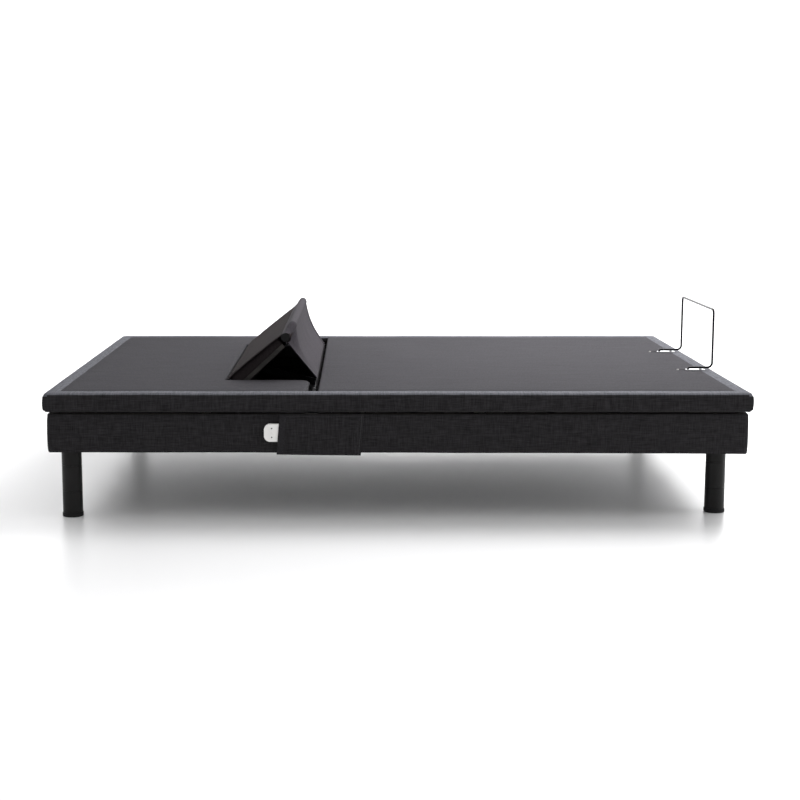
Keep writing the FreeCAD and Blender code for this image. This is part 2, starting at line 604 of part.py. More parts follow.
def frame_bolts():
    """Bolts through the seat board and its cross tubes, and the leg studs."""
    bolts = [post(x, y, "glide_height", "stud_radius", "rail_bottom-glide_height") for x, y in leg_places()]
    for x, y in seat_bolt_places():
        shank = post(x, y, "deck_bottom-cross_height-9", "bolt_radius", "board_thickness+cross_height+9")
        nut = post(x, y, "deck_bottom-cross_height-7", 7, 7)
        bolts.append(fused(shank, nut))
    subpart("frame_bolts", *bolts)


def leg_places():
    head_x, foot_x = "-(deck_length/2-leg_in_head)", "deck_length/2-leg_in_foot"
    head_y, foot_y = f"({HALF}-leg_side_head)", f"({HALF}-leg_side_foot)"
    return [(head_x, f"-{head_y}"), (head_x, head_y), (foot_x, f"-{foot_y}"), (foot_x, foot_y)]


def legs():
    """Four legs of three turned sections on a stud, under plates on the rails."""
    plate_low = "(rail_bottom-plate_thickness)"
    plates, uppers, middles, lowers, glides = [], [], [], [], []
    for x, y in leg_places():
        plates.append(cut(centred(x, y, plate_low, "plate_size", "plate_size", "plate_thickness"),
                          post(x, y, f"{plate_low}-1", "stud_radius", "plate_thickness+2")))
        for group, low, high in ((uppers, "middle_top", plate_low), (middles, "lower_top", "middle_top"),
                                 (lowers, "glide_height", "lower_top")):
            section = rounded(post(x, y, low, "leg_radius", f"{high}-{low}"), "1.2",
                              lambda e: e.Curve.TypeId == "Part::GeomCircle")
            group.append(cut(section, post(x, y, f"{low}-1", "stud_radius+0.1", f"{high}-{low}+2")))
        glides.append(rounded(post(x, y, 0, "glide_radius", "glide_height"), 2,
                              lambda e: e.Curve.TypeId == "Part::GeomCircle"))
    for name, group in (("leg_plates", plates), ("leg_upper_sections", uppers),
                        ("leg_middle_sections", middles),
                        ("leg_lower_sections", lowers), ("leg_glides", glides)):
        subpart(name, *group)


def upholstered_box():
    """Boards round the frame, the cloth sleeve over them and a dust sheet under them."""
    tall = "(box_top-box_bottom)"
    board_low, board_tall = "(box_bottom+dust_sheet)", "(box_top-box_bottom-dust_sheet)"
    inner_x, inner_y = f"({BOX_HALF_X}-cover_thickness)", f"({BOX_HALF_Y}-cover_thickness)"
    subpart("box_side_boards", *[
        block(f"-{inner_x}", y, board_low, f"2*{inner_x}", "box_board", board_tall)
        for y in (f"-{inner_y}", f"{inner_y}-box_board")])
    subpart("box_end_boards", *[
        block(x, f"-({inner_y}-box_board)", board_low, "box_board", f"2*({inner_y}-box_board)", board_tall)
        for x in (f"-{inner_x}", f"{inner_x}-box_board")])
    outer = rounded(block(f"-{BOX_HALF_X}", f"-{BOX_HALF_Y}", "box_bottom", f"2*{BOX_HALF_X}",
                          f"2*{BOX_HALF_Y}", tall), "box_corner", lambda e: along(e, (0, 0, 1)))
    inner = block(f"-{inner_x}", f"-{inner_y}", "box_bottom-1", f"2*{inner_x}", f"2*{inner_y}", tall + "+2")
    dust_sheet = cut(centred(0, 0, "box_bottom", f"2*{inner_x}-1", f"2*{inner_y}-1", "dust_sheet"),
                     *[post(x, y, "box_bottom-1", "leg_radius+1", "dust_sheet+2") for x, y in leg_places()])
    subpart("box_cover", cut(outer, inner), dust_sheet)


def bearings():
    """Blocks welded to the side rails that carry the torsion tubes and links."""
    blocks = []
    for x in (HEAD_LIFT, THIGH_LIFT):
        for side in (f"-{RAIL_IN_Y}", f"{RAIL_IN_Y}-bearing_depth"):
            body = block(f"{x}-bearing_width/2", side, "rail_bottom", "bearing_width", "bearing_depth",
                         "bearing_top-rail_bottom")
            blocks.append(cut(body, crosswise(x, f"{side}+bearing_depth/2", "lift_height",
                                              "lift_tube_radius+running_gap", "2*bearing_depth")))
    stubs = []
    for sign in (-1, 1):
        arm_y = f"-{RAIL_IN_Y}" if sign < 0 else "(link_side+link_thick+6)"
        plate = block("link_pivot_x-18", arm_y, "rail_bottom", 36,
                      f"{RAIL_IN_Y}-link_side-link_thick-6", 38)
        pin = crosswise("link_pivot_x", f"{sign}*(link_side+link_thick/2+3)", "link_pivot_z",
                        "link_pin_radius", "link_thick+12")
        stubs.append(fused(plate, pin))
    subpart("pivot_blocks", *blocks, *stubs)


# ---------------------------------------------------------------- lift frames and motors
def crank_ears(axis_x, side, angle, turn):
    """Two slotted ears hanging from a torsion tube, turned by angle."""
    ears = []
    reach = f"(crank_drop/cos({angle}))"
    for sign in (-1, 1):
        middle = f"{side}+{sign}*(crank_half+crank_ear/2)"
        plate = block("-(crank_slot+crank_wall)", "-crank_ear/2", f"-{reach}-1", "2*(crank_slot+crank_wall)",
                      "crank_ear", f"{reach}+1")
        tip = crosswise(0, 0, f"-{reach}-1", "crank_slot+crank_wall", "crank_ear")
        slot = block("-crank_slot", "-crank_ear", f"-({reach}+1)", "2*crank_slot", "2*crank_ear",
                     f"{reach}-crank_drop+2")
        top = crosswise(0, 0, "-(crank_drop-1)", "crank_slot", "2*crank_ear")
        bottom = crosswise(0, 0, f"-({reach}+1)", "crank_slot", "2*crank_ear")
        ear = cut(fused(plate, tip), fused(slot, top, bottom))
        ears.append(place(ear, axis_x, middle, "lift_height", axis=(0, turn, 0), angle=angle))
    return ears


def round_bar(length, depth, thick):
    """A flat bar with round ends, lying along +X from the origin."""
    bar = place(bind(doc.addObject("Part::Box", "bar"), Length=length, Width=thick, Height=depth),
                0, f"-({thick})/2", f"-({depth})/2")
    return fused(bar, *[crosswise(x, 0, 0, f"({depth})/2", thick) for x in (0, length)])


def bent_arm(axis_x, side, towards, arm, drop):
    """An arm that dips under the edge of the fixed section and comes back up."""
    bend_x, rise_x = f"{towards}*arm_bend", f"{towards}*({arm}-arm_bend)"
    down = round_bar(f"sqrt(arm_bend^2+{drop}^2)", "arm_depth", "arm_thick")
    up = round_bar(f"sqrt(({arm}-arm_bend)^2+{drop}^2)", "arm_depth", "arm_thick")
    return [
        place(down, axis_x, side, "lift_height", axis=(0, 1, 0), angle=f"atan2({drop}; {bend_x})"),
        place(up, f"{axis_x}+{bend_x}", side, f"lift_height-{drop}", axis=(0, -1, 0),
              angle=f"atan2({drop}; {rise_x})")]


def lift_frame(name, axis_x, towards, arm, drop, crank_angle, motor_y):
    """A torsion tube with two arms that end in roller axles, and its crank."""
    parts = [crosswise(axis_x, 0, "lift_height", "lift_tube_radius", "2*(lift_reach+40)")]
    roller_x = f"{axis_x}+{towards}*{arm}"
    for side in ("-arm_side", "arm_side"):
        outward = "-1" if side.startswith("-") else "1"
        parts += bent_arm(axis_x, side, towards, arm, drop)
        parts.append(crosswise(roller_x, f"{side}+{outward}*(arm_thick/2+roller_width/2+2)",
                               "lift_height", "axle_radius", "roller_width+6"))
    turn = -1 if towards < 0 else 1
    parts += crank_ears(axis_x, motor_y, crank_angle, turn)
    subpart(name + "_lift_frame", fused(*parts))
    rollers = []
    for side, outward in (("-arm_side", "-1"), ("arm_side", "1")):
        middle = f"{side}+{outward}*(arm_thick/2+roller_width/2+1)"
        wheel = crosswise(roller_x, middle, "lift_height", "roller_radius", "roller_width")
        bore = crosswise(roller_x, middle, "lift_height", "axle_radius+running_gap", "2*roller_width")
        rollers.append(cut(wheel, bore))
    subpart(name + "_rollers", *rollers)


def runner_plates(name, roller_x, reach_low, reach_high):
    """Steel plates under a board that the rollers run along."""
    plates = []
    for outward in (-1, 1):
        middle = f"{outward}*(arm_side+arm_thick/2+roller_width/2+1)"
        low_x, length = f"{roller_x}-{reach_low}", f"{reach_low}+{reach_high}"
        plate = block(low_x, f"{middle}-roller_width/2-5", "deck_bottom-runner_thickness", length,
                      "roller_width+10", "runner_thickness")
        edge = "roller_width/2+5" if outward > 0 else "-roller_width/2-8"
        rim = block(low_x, f"{middle}+{edge}", "deck_bottom-12", length, 3, 12)
        plates.append(fused(plate, rim))
    subpart(name, *plates)


def motor(axis_x, clevis_x, towards, side, angle):
    """The gearbox, motor can and rear tongue; then the outer tube; then the rod."""
    back = f"({clevis_x}-clevis_reach-motor_block)" if towards < 0 else f"({clevis_x}+clevis_reach)"
    gearbox = centred(f"{back}+motor_block/2", side, "motor_floor", "motor_block", "motor_width",
                      "motor_top-motor_floor")
    outward = -1 if side.startswith("-") else 1
    can = crosswise(f"{back}+motor_block/2", f"{side}+{outward}*(motor_width/2+motor_can_length/2-2)",
                    "(motor_floor+motor_top)/2", "motor_can_radius", "motor_can_length")
    tongue_x = f"{back}+motor_block-1" if towards < 0 else clevis_x
    tongue = centred(f"{tongue_x}+(clevis_reach+1)/2", side, f"{CRANK_PIN}-11", "clevis_reach+1", 18, 22)
    case = fused(gearbox, can, tongue)
    pin_x = f"({axis_x}-{towards}*crank_drop*tan({angle}))"
    mouth = f"({pin_x}-{towards}*rod_show)"
    if towards < 0:
        tube_start, tube_length = mouth, f"{back}-{mouth}"
    else:
        tube_start, tube_length = f"({back}+motor_block)", f"{mouth}-({back}+motor_block)"
    bore_start = f"{tube_start}-1" if towards < 0 else f"{tube_start}+10"
    sleeve = cut(lengthwise(tube_start, side, CRANK_PIN, "tube_radius", tube_length),
                 lengthwise(bore_start, side, CRANK_PIN, "tube_bore", f"{tube_length}-9"))
    rod_length = "(rod_show+rod_inside)"
    rod_start = pin_x if towards < 0 else f"{pin_x}-{rod_length}"
    rod = fused(lengthwise(rod_start, side, CRANK_PIN, "rod_radius", rod_length),
                crosswise(pin_x, side, CRANK_PIN, "rod_radius+1", "2*crank_half-1"),
                crosswise(pin_x, side, CRANK_PIN, "rod_pin_radius", "2*(crank_half+crank_ear)+6"))
    return case, sleeve, rod


def drives():
    lift_frame("head", HEAD_LIFT, -1, "head_arm", "head_arm_drop", "head_crank_angle", "-motor_side")
    lift_frame("thigh", THIGH_LIFT, 1, "thigh_arm", "thigh_arm_drop", "thigh_crank_angle", "motor_side")
    runner_plates("head_runner_plates", f"{HEAD_LIFT}-head_arm", 30, 50)
    runner_plates("thigh_runner_plates", f"{THIGH_LIFT}+thigh_arm", 50, 30)
    head_case, head_sleeve, head_rod = motor(
        HEAD_LIFT, "head_motor_x", -1, "-motor_side", "head_crank_angle")
    thigh_case, thigh_sleeve, thigh_rod = motor(
        THIGH_LIFT, "thigh_motor_x", 1, "motor_side", "thigh_crank_angle")
    subpart("motor_housings", head_case, thigh_case)
    subpart("motor_tubes", head_sleeve, thigh_sleeve)
    subpart("head_motor_rod", head_rod)
    subpart("thigh_motor_rod", thigh_rod)


def foot_links(foot_ears):
    """Bars from the frame to slotted brackets under the foot board."""
    end_x, end_z = "link_length*cos(link_rise)", "link_length*sin(link_rise)"
    links, brackets = [], []
    for sign in (-1, 1):
        middle = f"{sign}*(link_side+link_thick/2)"
        bar = round_bar("link_length", "link_depth", "link_thick")
        pin = crosswise("link_length", f"-{sign}*(link_thick/2+4)", 0, "link_pin_radius", "link_thick+12")
        link = cut(fused(bar, pin), crosswise(0, 0, 0, "link_pin_radius+running_gap", "3*link_thick"))
        links.append(place(link, "link_pivot_x", middle, "link_pivot_z", axis=(0, -1, 0), angle="link_rise"))
        slot_x, slot_z = f"(link_pivot_x+{end_x})", f"(link_pivot_z+{end_z})"
        inner = f"{middle}-{sign}*(link_thick+1)"
        plate = centred(slot_x, inner, f"{slot_z}-13", 34, 5, f"deck_bottom-{slot_z}+13")
        flange = centred(slot_x, f"{inner}-{sign}*12", "deck_bottom-3", 34, 26, 3)
        slot = centred(slot_x, inner, f"{slot_z}-link_pin_radius-0.6", "2*link_pin_radius+2.6", 20,
                       "2*link_pin_radius+3.2")
        brackets.append(cut(fused(plate, flange), slot))
    subpart("foot_links", *links)
    subpart("foot_brackets", *foot_ears, *brackets)


# ---------------------------------------------------------------- controls
def control_box():
    """The power and control box, with its inlet and three sockets."""
    low = "(deck_bottom-cross_height-case_height)"
    case = rounded(block("case_start", "case_side", low, "case_length", "case_width", "case_height"), 5,
                   lambda e: along(e, (0, 0, 1)))
    inlet = block("case_start+28", "case_side-10", f"{low}+10", 28, 26, 20)
    sockets = [block("case_start-12", f"case_side+{along_y}", f"{low}+12", 24, 16, 14)
               for along_y in (90, 130, 170)]
    subpart("control_box", cut(case, fused(inlet, *sockets)))


def remote_pocket():
    """A flat cloth pocket on the near side, open towards the head end."""
    outer_y = f"(-{BOX_HALF_Y}-2*pocket_wall-pocket_room)"
    outer = block("pocket_start", outer_y, "pocket_bottom", "pocket_length", "2*pocket_wall+pocket_room",
                  "pocket_height")
    room = block("pocket_start-1", f"{outer_y}+pocket_wall", "pocket_bottom+4", "pocket_length-3",
                 "pocket_room", "pocket_height-8")
    subpart("remote_pocket", cut(outer, room))


REMOTE_X = "(pocket_start-remote_out)"
REMOTE_Y = f"(-{BOX_HALF_Y}-pocket_wall-(pocket_room+remote_thickness)/2)"


def remote_block(low_y, thickness, grow):
    """A slab of the remote's outline, pulled in by grow all round."""
    slab = block(f"{REMOTE_X}+{grow}", low_y, f"remote_bottom+{grow}", f"remote_length-2*{grow}", thickness,
                 f"remote_height-2*{grow}")
    return rounded(slab, f"remote_radius-{grow}", lambda e: along(e, (0, 1, 0)))


BUTTON_X = f"({REMOTE_X}+22)"
ROCKER_PLACES = {"remote_head_rocker": 70, "remote_foot_rocker": 110}


def remote():
    """A hollow hand-held remote in two shells, two buttons and two rocker keys."""
    half = "remote_thickness/2"
    middle_z = "(remote_bottom+remote_height/2)"
    back = cut(remote_block(f"{REMOTE_Y}+{half}", half, 0),
               remote_block(f"{REMOTE_Y}+{half}-1", f"{half}+1-shell_wall", "shell_wall"))
    subpart("remote_back_shell", back)
    front = cut(remote_block(REMOTE_Y, half, 0), remote_block(f"{REMOTE_Y}+shell_wall", half, "shell_wall"))
    holes = [crosswise(BUTTON_X, REMOTE_Y, f"{middle_z}+{sign}*button_apart", "button_radius+0.1", 8)
             for sign in (-1, 1)]
    lens_hole = crosswise(BUTTON_X, REMOTE_Y, middle_z, "lens_radius", 8)
    keys = [centred(f"{REMOTE_X}+{at}", REMOTE_Y, f"{middle_z}-key_height/2-1", "key_length+key_gap", 8,
                    "key_height+2") for at in ROCKER_PLACES.values()]
    subpart("remote_front_shell", cut(front, fused(*holes, lens_hole, *keys)))
    for name, sign in (("remote_upper_button", 1), ("remote_lower_button", -1)):
        z = f"{middle_z}+{sign}*button_apart"
        cap = crosswise(BUTTON_X, f"{REMOTE_Y}+1.5", z, "button_radius", 3.4)
        flange = crosswise(BUTTON_X, f"{REMOTE_Y}+shell_wall+0.9", z, "button_radius+1", 0.8)
        subpart(name, fused(cap, flange))
    for name, at in ROCKER_PLACES.items():
        x = f"({REMOTE_X}+{at})"
        key = centred(x, f"{REMOTE_Y}+key_recess+key_thickness/2", f"{middle_z}-key_height/2", "key_length",
                      "key_thickness", "key_height")
        boss = lengthwise(f"{x}-10", f"{REMOTE_Y}+3.6", middle_z, 2, 20)
        subpart(name, fused(key, boss))


# ---------------------------------------------------------------- mattress retainer
def retainer_path():
    """The wire's centre line: stem, foot, post, top rail, post, foot, stem."""
    bend = amount("wire_bend")
    foot_z = amount("deck_top+foot_lift")
    top_z = amount("deck_top+bar_height-wire_radius")
    stem_x, post_x = amount(STEM_X), amount("deck_length/2-post_in")
    side = amount("bar_half")
    corners = [FreeCAD.Vector(*point) for point in (
        (stem_x, -side, foot_z - amount("stem_length")), (stem_x, -side, foot_z), (post_x, -side, foot_z),
        (post_x, -side, top_z), (post_x, side, top_z), (post_x, side, foot_z), (stem_x, side, foot_z),
        (stem_x, side, foot_z - amount("stem_length")))]
    edges, start = [], corners[0]
    for before, corner, after in zip(corners, corners[1:], corners[2:]):
        inward = (before - corner).normalize()
        outward = (after - corner).normalize()
        reach = amount("foot_lift") if abs(corner.x - stem_x) < 1 else bend
        enter, leave = corner + inward * reach, corner + outward * reach
        centre = corner + inward * reach + outward * reach
        crown = centre + (corner - centre).normalize() * reach
        edges.append(Part.LineSegment(start, enter).toShape())
        edges.append(Part.Arc(enter, crown, leave).toShape())
        start = leave
    edges.append(Part.LineSegment(start, corners[-1]).toShape())
    return Part.Wire(edges)


def retainer_bar():
    path = retainer_path()
    ring = Part.Wire(Part.Circle(path.Edges[0].Vertexes[0].Point, FreeCAD.Vector(0, 0, 1),
                                 amount("wire_radius")).toShape())
    wire = doc.addObject("Part::Feature", "retainer_bar")
    wire.Shape = path.makePipeShell([ring], True, False)
    wire.Placement = FreeCAD.Placement()
    subpart("retainer_bar", wire)
    plates, fasteners = [], []
    for y in ("-bar_half", "bar_half"):
        flat = rounded(centred(f"{STEM_X}+24", y, "deck_top", 62, 32, 2), 15, lambda e: along(e, (0, 0, 1)))
        plates.append(cut(flat, post(STEM_X, y, "deck_top-1", "wire_radius+0.3", 4),
                          post(f"{STEM_X}+screw_in", y, "deck_top-1", "screw_hole", 4)))
        nut = cut(post(STEM_X, y, "deck_bottom-9", 9, 9),
                  post(STEM_X, y, "deck_bottom-10", "wire_radius", 11))
        screw = fused(post(f"{STEM_X}+screw_in", y, "deck_top+2", 4.6, 1.4),
                      post(f"{STEM_X}+screw_in", y, "deck_bottom+2", "screw_radius", BAND + "+1"))
        fasteners += [nut, screw]
    subpart("retainer_plates", *plates)
    subpart("retainer_fasteners", *fasteners)


# ---------------------------------------------------------------- assembly
head_section()
seat_section()
thigh_section()
foot_section()
foot_hinge_ears = section_hinges()
lumbar_panel()
lumbar_bar()
lumbar_sling()
sling_rod()
lumbar_drive(lumbar_hinge())
frame_tubes()
frame_bolts()
legs()
upholstered_box()
bearings()
drives()
foot_links(foot_hinge_ears)
control_box()
remote_pocket()
remote()
retainer_bar()
doc.recompute()

failed = [item.Label for item in doc.Objects if "Invalid" in item.State or "Error" in item.State]
if failed:
    raise RuntimeError("did not build: " + ", ".join(failed))
for item in SUBPARTS:
    if item.Shape.isNull() or not item.Shape.isValid() or not item.Shape.Solids:
        raise RuntimeError(f"{item.Label} has no valid solid")

os.makedirs("parts", exist_ok=True)
for item in SUBPARTS:
    item.Shape.exportStep(f"parts/{item.Label}.step")
print(len(SUBPARTS), "sub-parts written")
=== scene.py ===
import json
import math

import bpy
from mathutils import Matrix, Vector, noise


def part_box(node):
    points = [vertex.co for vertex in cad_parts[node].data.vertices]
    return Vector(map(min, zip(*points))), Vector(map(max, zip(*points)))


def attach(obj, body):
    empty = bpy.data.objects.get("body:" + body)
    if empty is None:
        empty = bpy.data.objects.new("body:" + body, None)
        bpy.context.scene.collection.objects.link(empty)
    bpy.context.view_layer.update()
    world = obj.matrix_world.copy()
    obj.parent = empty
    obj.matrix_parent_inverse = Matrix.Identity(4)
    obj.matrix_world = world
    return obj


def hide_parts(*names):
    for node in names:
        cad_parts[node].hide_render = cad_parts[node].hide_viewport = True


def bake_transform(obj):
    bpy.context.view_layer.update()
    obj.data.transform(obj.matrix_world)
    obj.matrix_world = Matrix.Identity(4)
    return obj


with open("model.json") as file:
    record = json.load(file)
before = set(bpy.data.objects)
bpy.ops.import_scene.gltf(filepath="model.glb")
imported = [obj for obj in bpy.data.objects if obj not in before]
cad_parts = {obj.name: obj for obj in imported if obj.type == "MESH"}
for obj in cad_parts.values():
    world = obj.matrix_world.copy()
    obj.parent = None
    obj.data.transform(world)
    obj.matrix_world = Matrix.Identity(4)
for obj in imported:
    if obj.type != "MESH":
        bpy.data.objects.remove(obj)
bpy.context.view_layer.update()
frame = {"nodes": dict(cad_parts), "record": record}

# Looks for an adjustable bed base.  Everything is in metres, in the CAD frame:
# +X towards the foot end, +Y away from the side with the remote pocket, +Z up.

# ---------------------------------------------------------------- places from the frame
JOINTS = {joint["name"]: joint for joint in frame["record"]["behaviour"]["joints"]}
HEAD_LOW, HEAD_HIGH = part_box("head_pad")
SEAT_LOW, SEAT_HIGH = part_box("seat_pad")
THIGH_LOW, THIGH_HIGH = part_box("thigh_pad")
FOOT_LOW, FOOT_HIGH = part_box("foot_pad")
DECK_TOP = HEAD_HIGH.z
DECK_BOTTOM = HEAD_LOW.z
HEAD_END = HEAD_LOW.x
FOOT_END = FOOT_HIGH.x
HALF_WIDTH = HEAD_HIGH.y
MID_SEAT = (SEAT_LOW.x + SEAT_HIGH.x) / 2
MID_THIGH = (THIGH_LOW.x + THIGH_HIGH.x) / 2
HINGE_GAPS = ((HEAD_HIGH.x, SEAT_LOW.x), (SEAT_HIGH.x, THIGH_LOW.x), (THIGH_HIGH.x, FOOT_LOW.x))
LUMBAR_AXIS = Vector(JOINTS["lumbar_raise"]["pos_m"])
LUMBAR_ANGLE = math.radians(39)     # the panel's slope at rest, when it is fully raised
PANEL_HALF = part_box("lumbar_pad")[1].y
NOTCH_MARGIN = 0.007
NOTCH_BACK = LUMBAR_AXIS.x - NOTCH_MARGIN
NOTCH_HALF = PANEL_HALF + NOTCH_MARGIN
TINY = 1e-4             # slack when two coordinates are compared

# ---------------------------------------------------------------- sizes of the deck cover
BORDER = 0.052          # the linen band along the deck's long sides
END_BORDER = 0.040      # the same band across the two ends
GAP_END = HALF_WIDTH - BORDER
TOP_ROUND = 0.009
OPENING_ROUND = 0.007
BOTTOM_ROUND = 0.006
CORNER_ROUND = 0.014
WING_ROUND = 0.030      # the corners beside the lumbar notch
EDGE_STEPS = (0.0, 0.0012, 0.0035, 0.007, 0.0125)
WING_STEPS = (0.0, 0.0012, 0.0035, 0.007, 0.0125, 0.018, 0.024, 0.030)
WALL_SHARES = (0.0, 0.12, 0.3, 0.5, 0.7, 0.88, 1.0)    # where the side walls have a ring of points
SEAM_STEPS = (-0.0035, -0.0014, 0.0, 0.0014, 0.0035)
SEAM_REACH = SEAM_STEPS[-1]
SEAM_DEPTH = 0.0016
UNDERSIDE = DECK_BOTTOM + 0.0006
UNDER_EDGE = DECK_BOTTOM + 0.004    # faces below this height have the underside's cloth
LINE_STEP_X, LINE_STEP_Y = 0.032, 0.036     # widest spacing of the cover's mesh lines
HINGE_SKIN = 0.016      # thickness of the cover over the open hinge gaps
HINGE_LIP = 0.0015      # a mesh line this far inside each side of a hinge gap
SKIRT = 0.015           # width of the outer cloth wall across a hinge gap

# Corners that are rounded in plan: x, the side it faces, y, the side it faces, radius.
CORNERS = ((HEAD_END, -1, HALF_WIDTH, 1, CORNER_ROUND), (FOOT_END, 1, HALF_WIDTH, 1, CORNER_ROUND),
           (HEAD_HIGH.x, 1, NOTCH_HALF, -1, WING_ROUND))


# ---------------------------------------------------------------- small helpers
def wave(x, y, z, scale, amount):
    """A smooth, repeatable unevenness of about +-amount, with features of about scale."""
    return amount * noise.noise(Vector((x / scale, y / scale, z / scale)))


def drop(distance, radius):
    """How far a rounded edge lies below the flat at a distance from the side."""
    if distance >= radius:
        return 0.0
    return radius - math.sqrt(max(radius * radius - (radius - distance) ** 2, 0.0))


def filled_lines(wanted, low, high, step):
    """The wanted coordinates between low and high, with gaps filled to the step."""
    points = sorted({round(v, 5) for v in [*wanted, low, high] if low - 1e-6 <= v <= high + 1e-6})
    lines = [points[0]]
    for here, there in zip(points, points[1:]):
        if there - here < 0.0006:
            continue
        pieces = max(1, math.ceil((there - here) / step))
        lines += [here + (there - here) * n / pieces for n in range(1, pieces + 1)]
    return lines


def make_object(name, points, faces, *materials, face_material=None, smooth=35):
    """A mesh object; face_material gives the material's number for a face."""
    mesh = bpy.data.meshes.new(name)
    mesh.from_pydata([tuple(p) for p in points], [], faces)
    for material in materials:
        mesh.materials.append(material)
    if face_material:
        for polygon in mesh.polygons:
            polygon.material_index = face_material(polygon)
    item = bpy.data.objects.new(name, mesh)
    bpy.context.scene.collection.objects.link(item)
    finish_shading(item, smooth)
    return item


def finish_shading(item, smooth=35):
    """Outward normals, and smooth shading except over edges sharper than smooth degrees."""
    for other in bpy.context.selected_objects:
        other.select_set(False)
    item.select_set(True)
    bpy.context.view_layer.objects.active = item
    bpy.ops.object.mode_set(mode="EDIT")
    bpy.ops.mesh.select_all(action="SELECT")
    bpy.ops.mesh.normals_make_consistent(inside=False)
    bpy.ops.object.mode_set(mode="OBJECT")
    bpy.ops.object.shade_smooth_by_angle(angle=math.radians(smooth))


def apply_modifiers(item):
    bpy.context.view_layer.objects.active = item
    for modifier in list(item.modifiers):
        bpy.ops.object.modifier_apply(modifier=modifier.name)


def grid_faces(rows, columns, closed=False):
    """Quads of a rows x columns grid of points; closed joins the last column to the first."""
    faces = []
    for row in range(0, (rows - 1) * columns, columns):
        for c in range(columns if closed else columns - 1):
            after = (c + 1) % columns
            faces.append((row + c, row + after, row + columns + after, row + columns + c))
    return faces


def tube_faces(rings, count):
    """Quads along a tube whose rings have count points, and one face over each end."""
    last = (rings - 1) * count
    return [*grid_faces(rings, count, closed=True), tuple(range(count)), tuple(range(last, last + count))]


def circle(radius, count):
    """Points round a circle, as pairs."""
    angles = [math.tau * n / count for n in range(count)]
    return [(radius * math.cos(a), radius * math.sin(a)) for a in angles]


def thicken(item, thickness):
    """Make an open sheet into a closed mesh of that thickness."""
    solid = item.modifiers.new("thickness", "SOLIDIFY")
    solid.thickness = thickness
    solid.offset = 0
    apply_modifiers(item)
    finish_shading(item, 60)


def thick_sheet(name, rows, thickness, *materials):
    """A sheet through rows of points, made into a closed mesh of that thickness."""
    points = [point for row in rows for point in row]
    item = make_object(name, points, grid_faces(len(rows), len(rows[0])), *materials)
    thicken(item, thickness)
    return item


# ---------------------------------------------------------------- materials
def new_material(name, color, roughness, metallic=0.0, **inputs):
    """A plain material; inputs are more of the shader's sockets, with _ for a space."""
    material = bpy.data.materials.new(name)
    material.use_nodes = True
    shader = material.node_tree.nodes["Principled BSDF"]
    shader.inputs["Base Color"].default_value = (*color, 1)
    shader.inputs["Roughness"].default_value = roughness
    shader.inputs["Metallic"].default_value = metallic
    for key, value in inputs.items():
        shader.inputs[key.replace("_", " ")].default_value = value
    return material


def noise_node(material, stretch, detail=3.0):
    """Noise whose grains are 1/stretch metres along each axis."""
    nodes, links = material.node_tree.nodes, material.node_tree.links
    place = nodes.new("ShaderNodeTexCoord")
    scale = nodes.new("ShaderNodeMapping")
    scale.inputs["Scale"].default_value = stretch
    grain = nodes.new("ShaderNodeTexNoise")
    grain.inputs["Scale"].default_value = 1.0
    grain.inputs["Detail"].default_value = detail
    grain.inputs["Roughness"].default_value = 0.55
    links.new(place.outputs["Object"], scale.inputs["Vector"])
    links.new(scale.outputs["Vector"], grain.inputs["Vector"])
    return grain.outputs["Fac"]


def mixed(material, first, second):
    """The mean of two values."""
    nodes, links = material.node_tree.nodes, material.node_tree.links
    blend = nodes.new("ShaderNodeMix")
    blend.inputs["Factor"].default_value = 0.5
    links.new(first, blend.inputs["A"])
    links.new(second, blend.inputs["B"])
    return blend.outputs["Result"]


def color_by(material, value, dark, light):
    """Colour that runs from dark to light as the value rises."""
    nodes, links = material.node_tree.nodes, material.node_tree.links
    ramp = nodes.new("ShaderNodeValToRGB")
    ramp.color_ramp.elements[0].position = 0.35
    ramp.color_ramp.elements[0].color = (*dark, 1)
    ramp.color_ramp.elements[1].position = 0.65
    ramp.color_ramp.elements[1].color = (*light, 1)
    links.new(value, ramp.inputs["Fac"])
    links.new(ramp.outputs["Color"], nodes["Principled BSDF"].inputs["Base Color"])


def bump_by(material, value, strength, distance):
    nodes, links = material.node_tree.nodes, material.node_tree.links
    bump = nodes.new("ShaderNodeBump")
    bump.inputs["Strength"].default_value = strength
    bump.inputs["Distance"].default_value = distance
    links.new(value, bump.inputs["Height"])
    links.new(bump.outputs["Normal"], nodes["Principled BSDF"].inputs["Normal"])


def roughness_by(material, value, low, high):
    nodes, links = material.node_tree.nodes, material.node_tree.links
    spread = nodes.new("ShaderNodeMapRange")
    spread.inputs["From Min"].default_value = 0.3
    spread.inputs["From Max"].default_value = 0.7
    spread.inputs["To Min"].default_value = low
    spread.inputs["To Max"].default_value = high
    links.new(value, spread.inputs["Value"])
    links.new(spread.outputs["Result"], nodes["Principled BSDF"].inputs["Roughness"])


def scaled(color, factor):
    return tuple(min(1.0, c * factor) for c in color)


def woven(name, color, contrast, warp, weft, sheen=0.0, bump=0.5, specular=0.12):
    """Cloth with slubby threads both ways; warp runs along X, weft across it."""
    material = new_material(name, color, 0.9, Specular_IOR_Level=specular, Sheen_Weight=sheen,
                            Sheen_Roughness=0.4)
    threads = mixed(material, noise_node(material, warp), noise_node(material, weft))
    color_by(material, threads, scaled(color, 1 - contrast), scaled(color, 1 + contrast))
    bump_by(material, threads, bump, 0.0008)
    return material


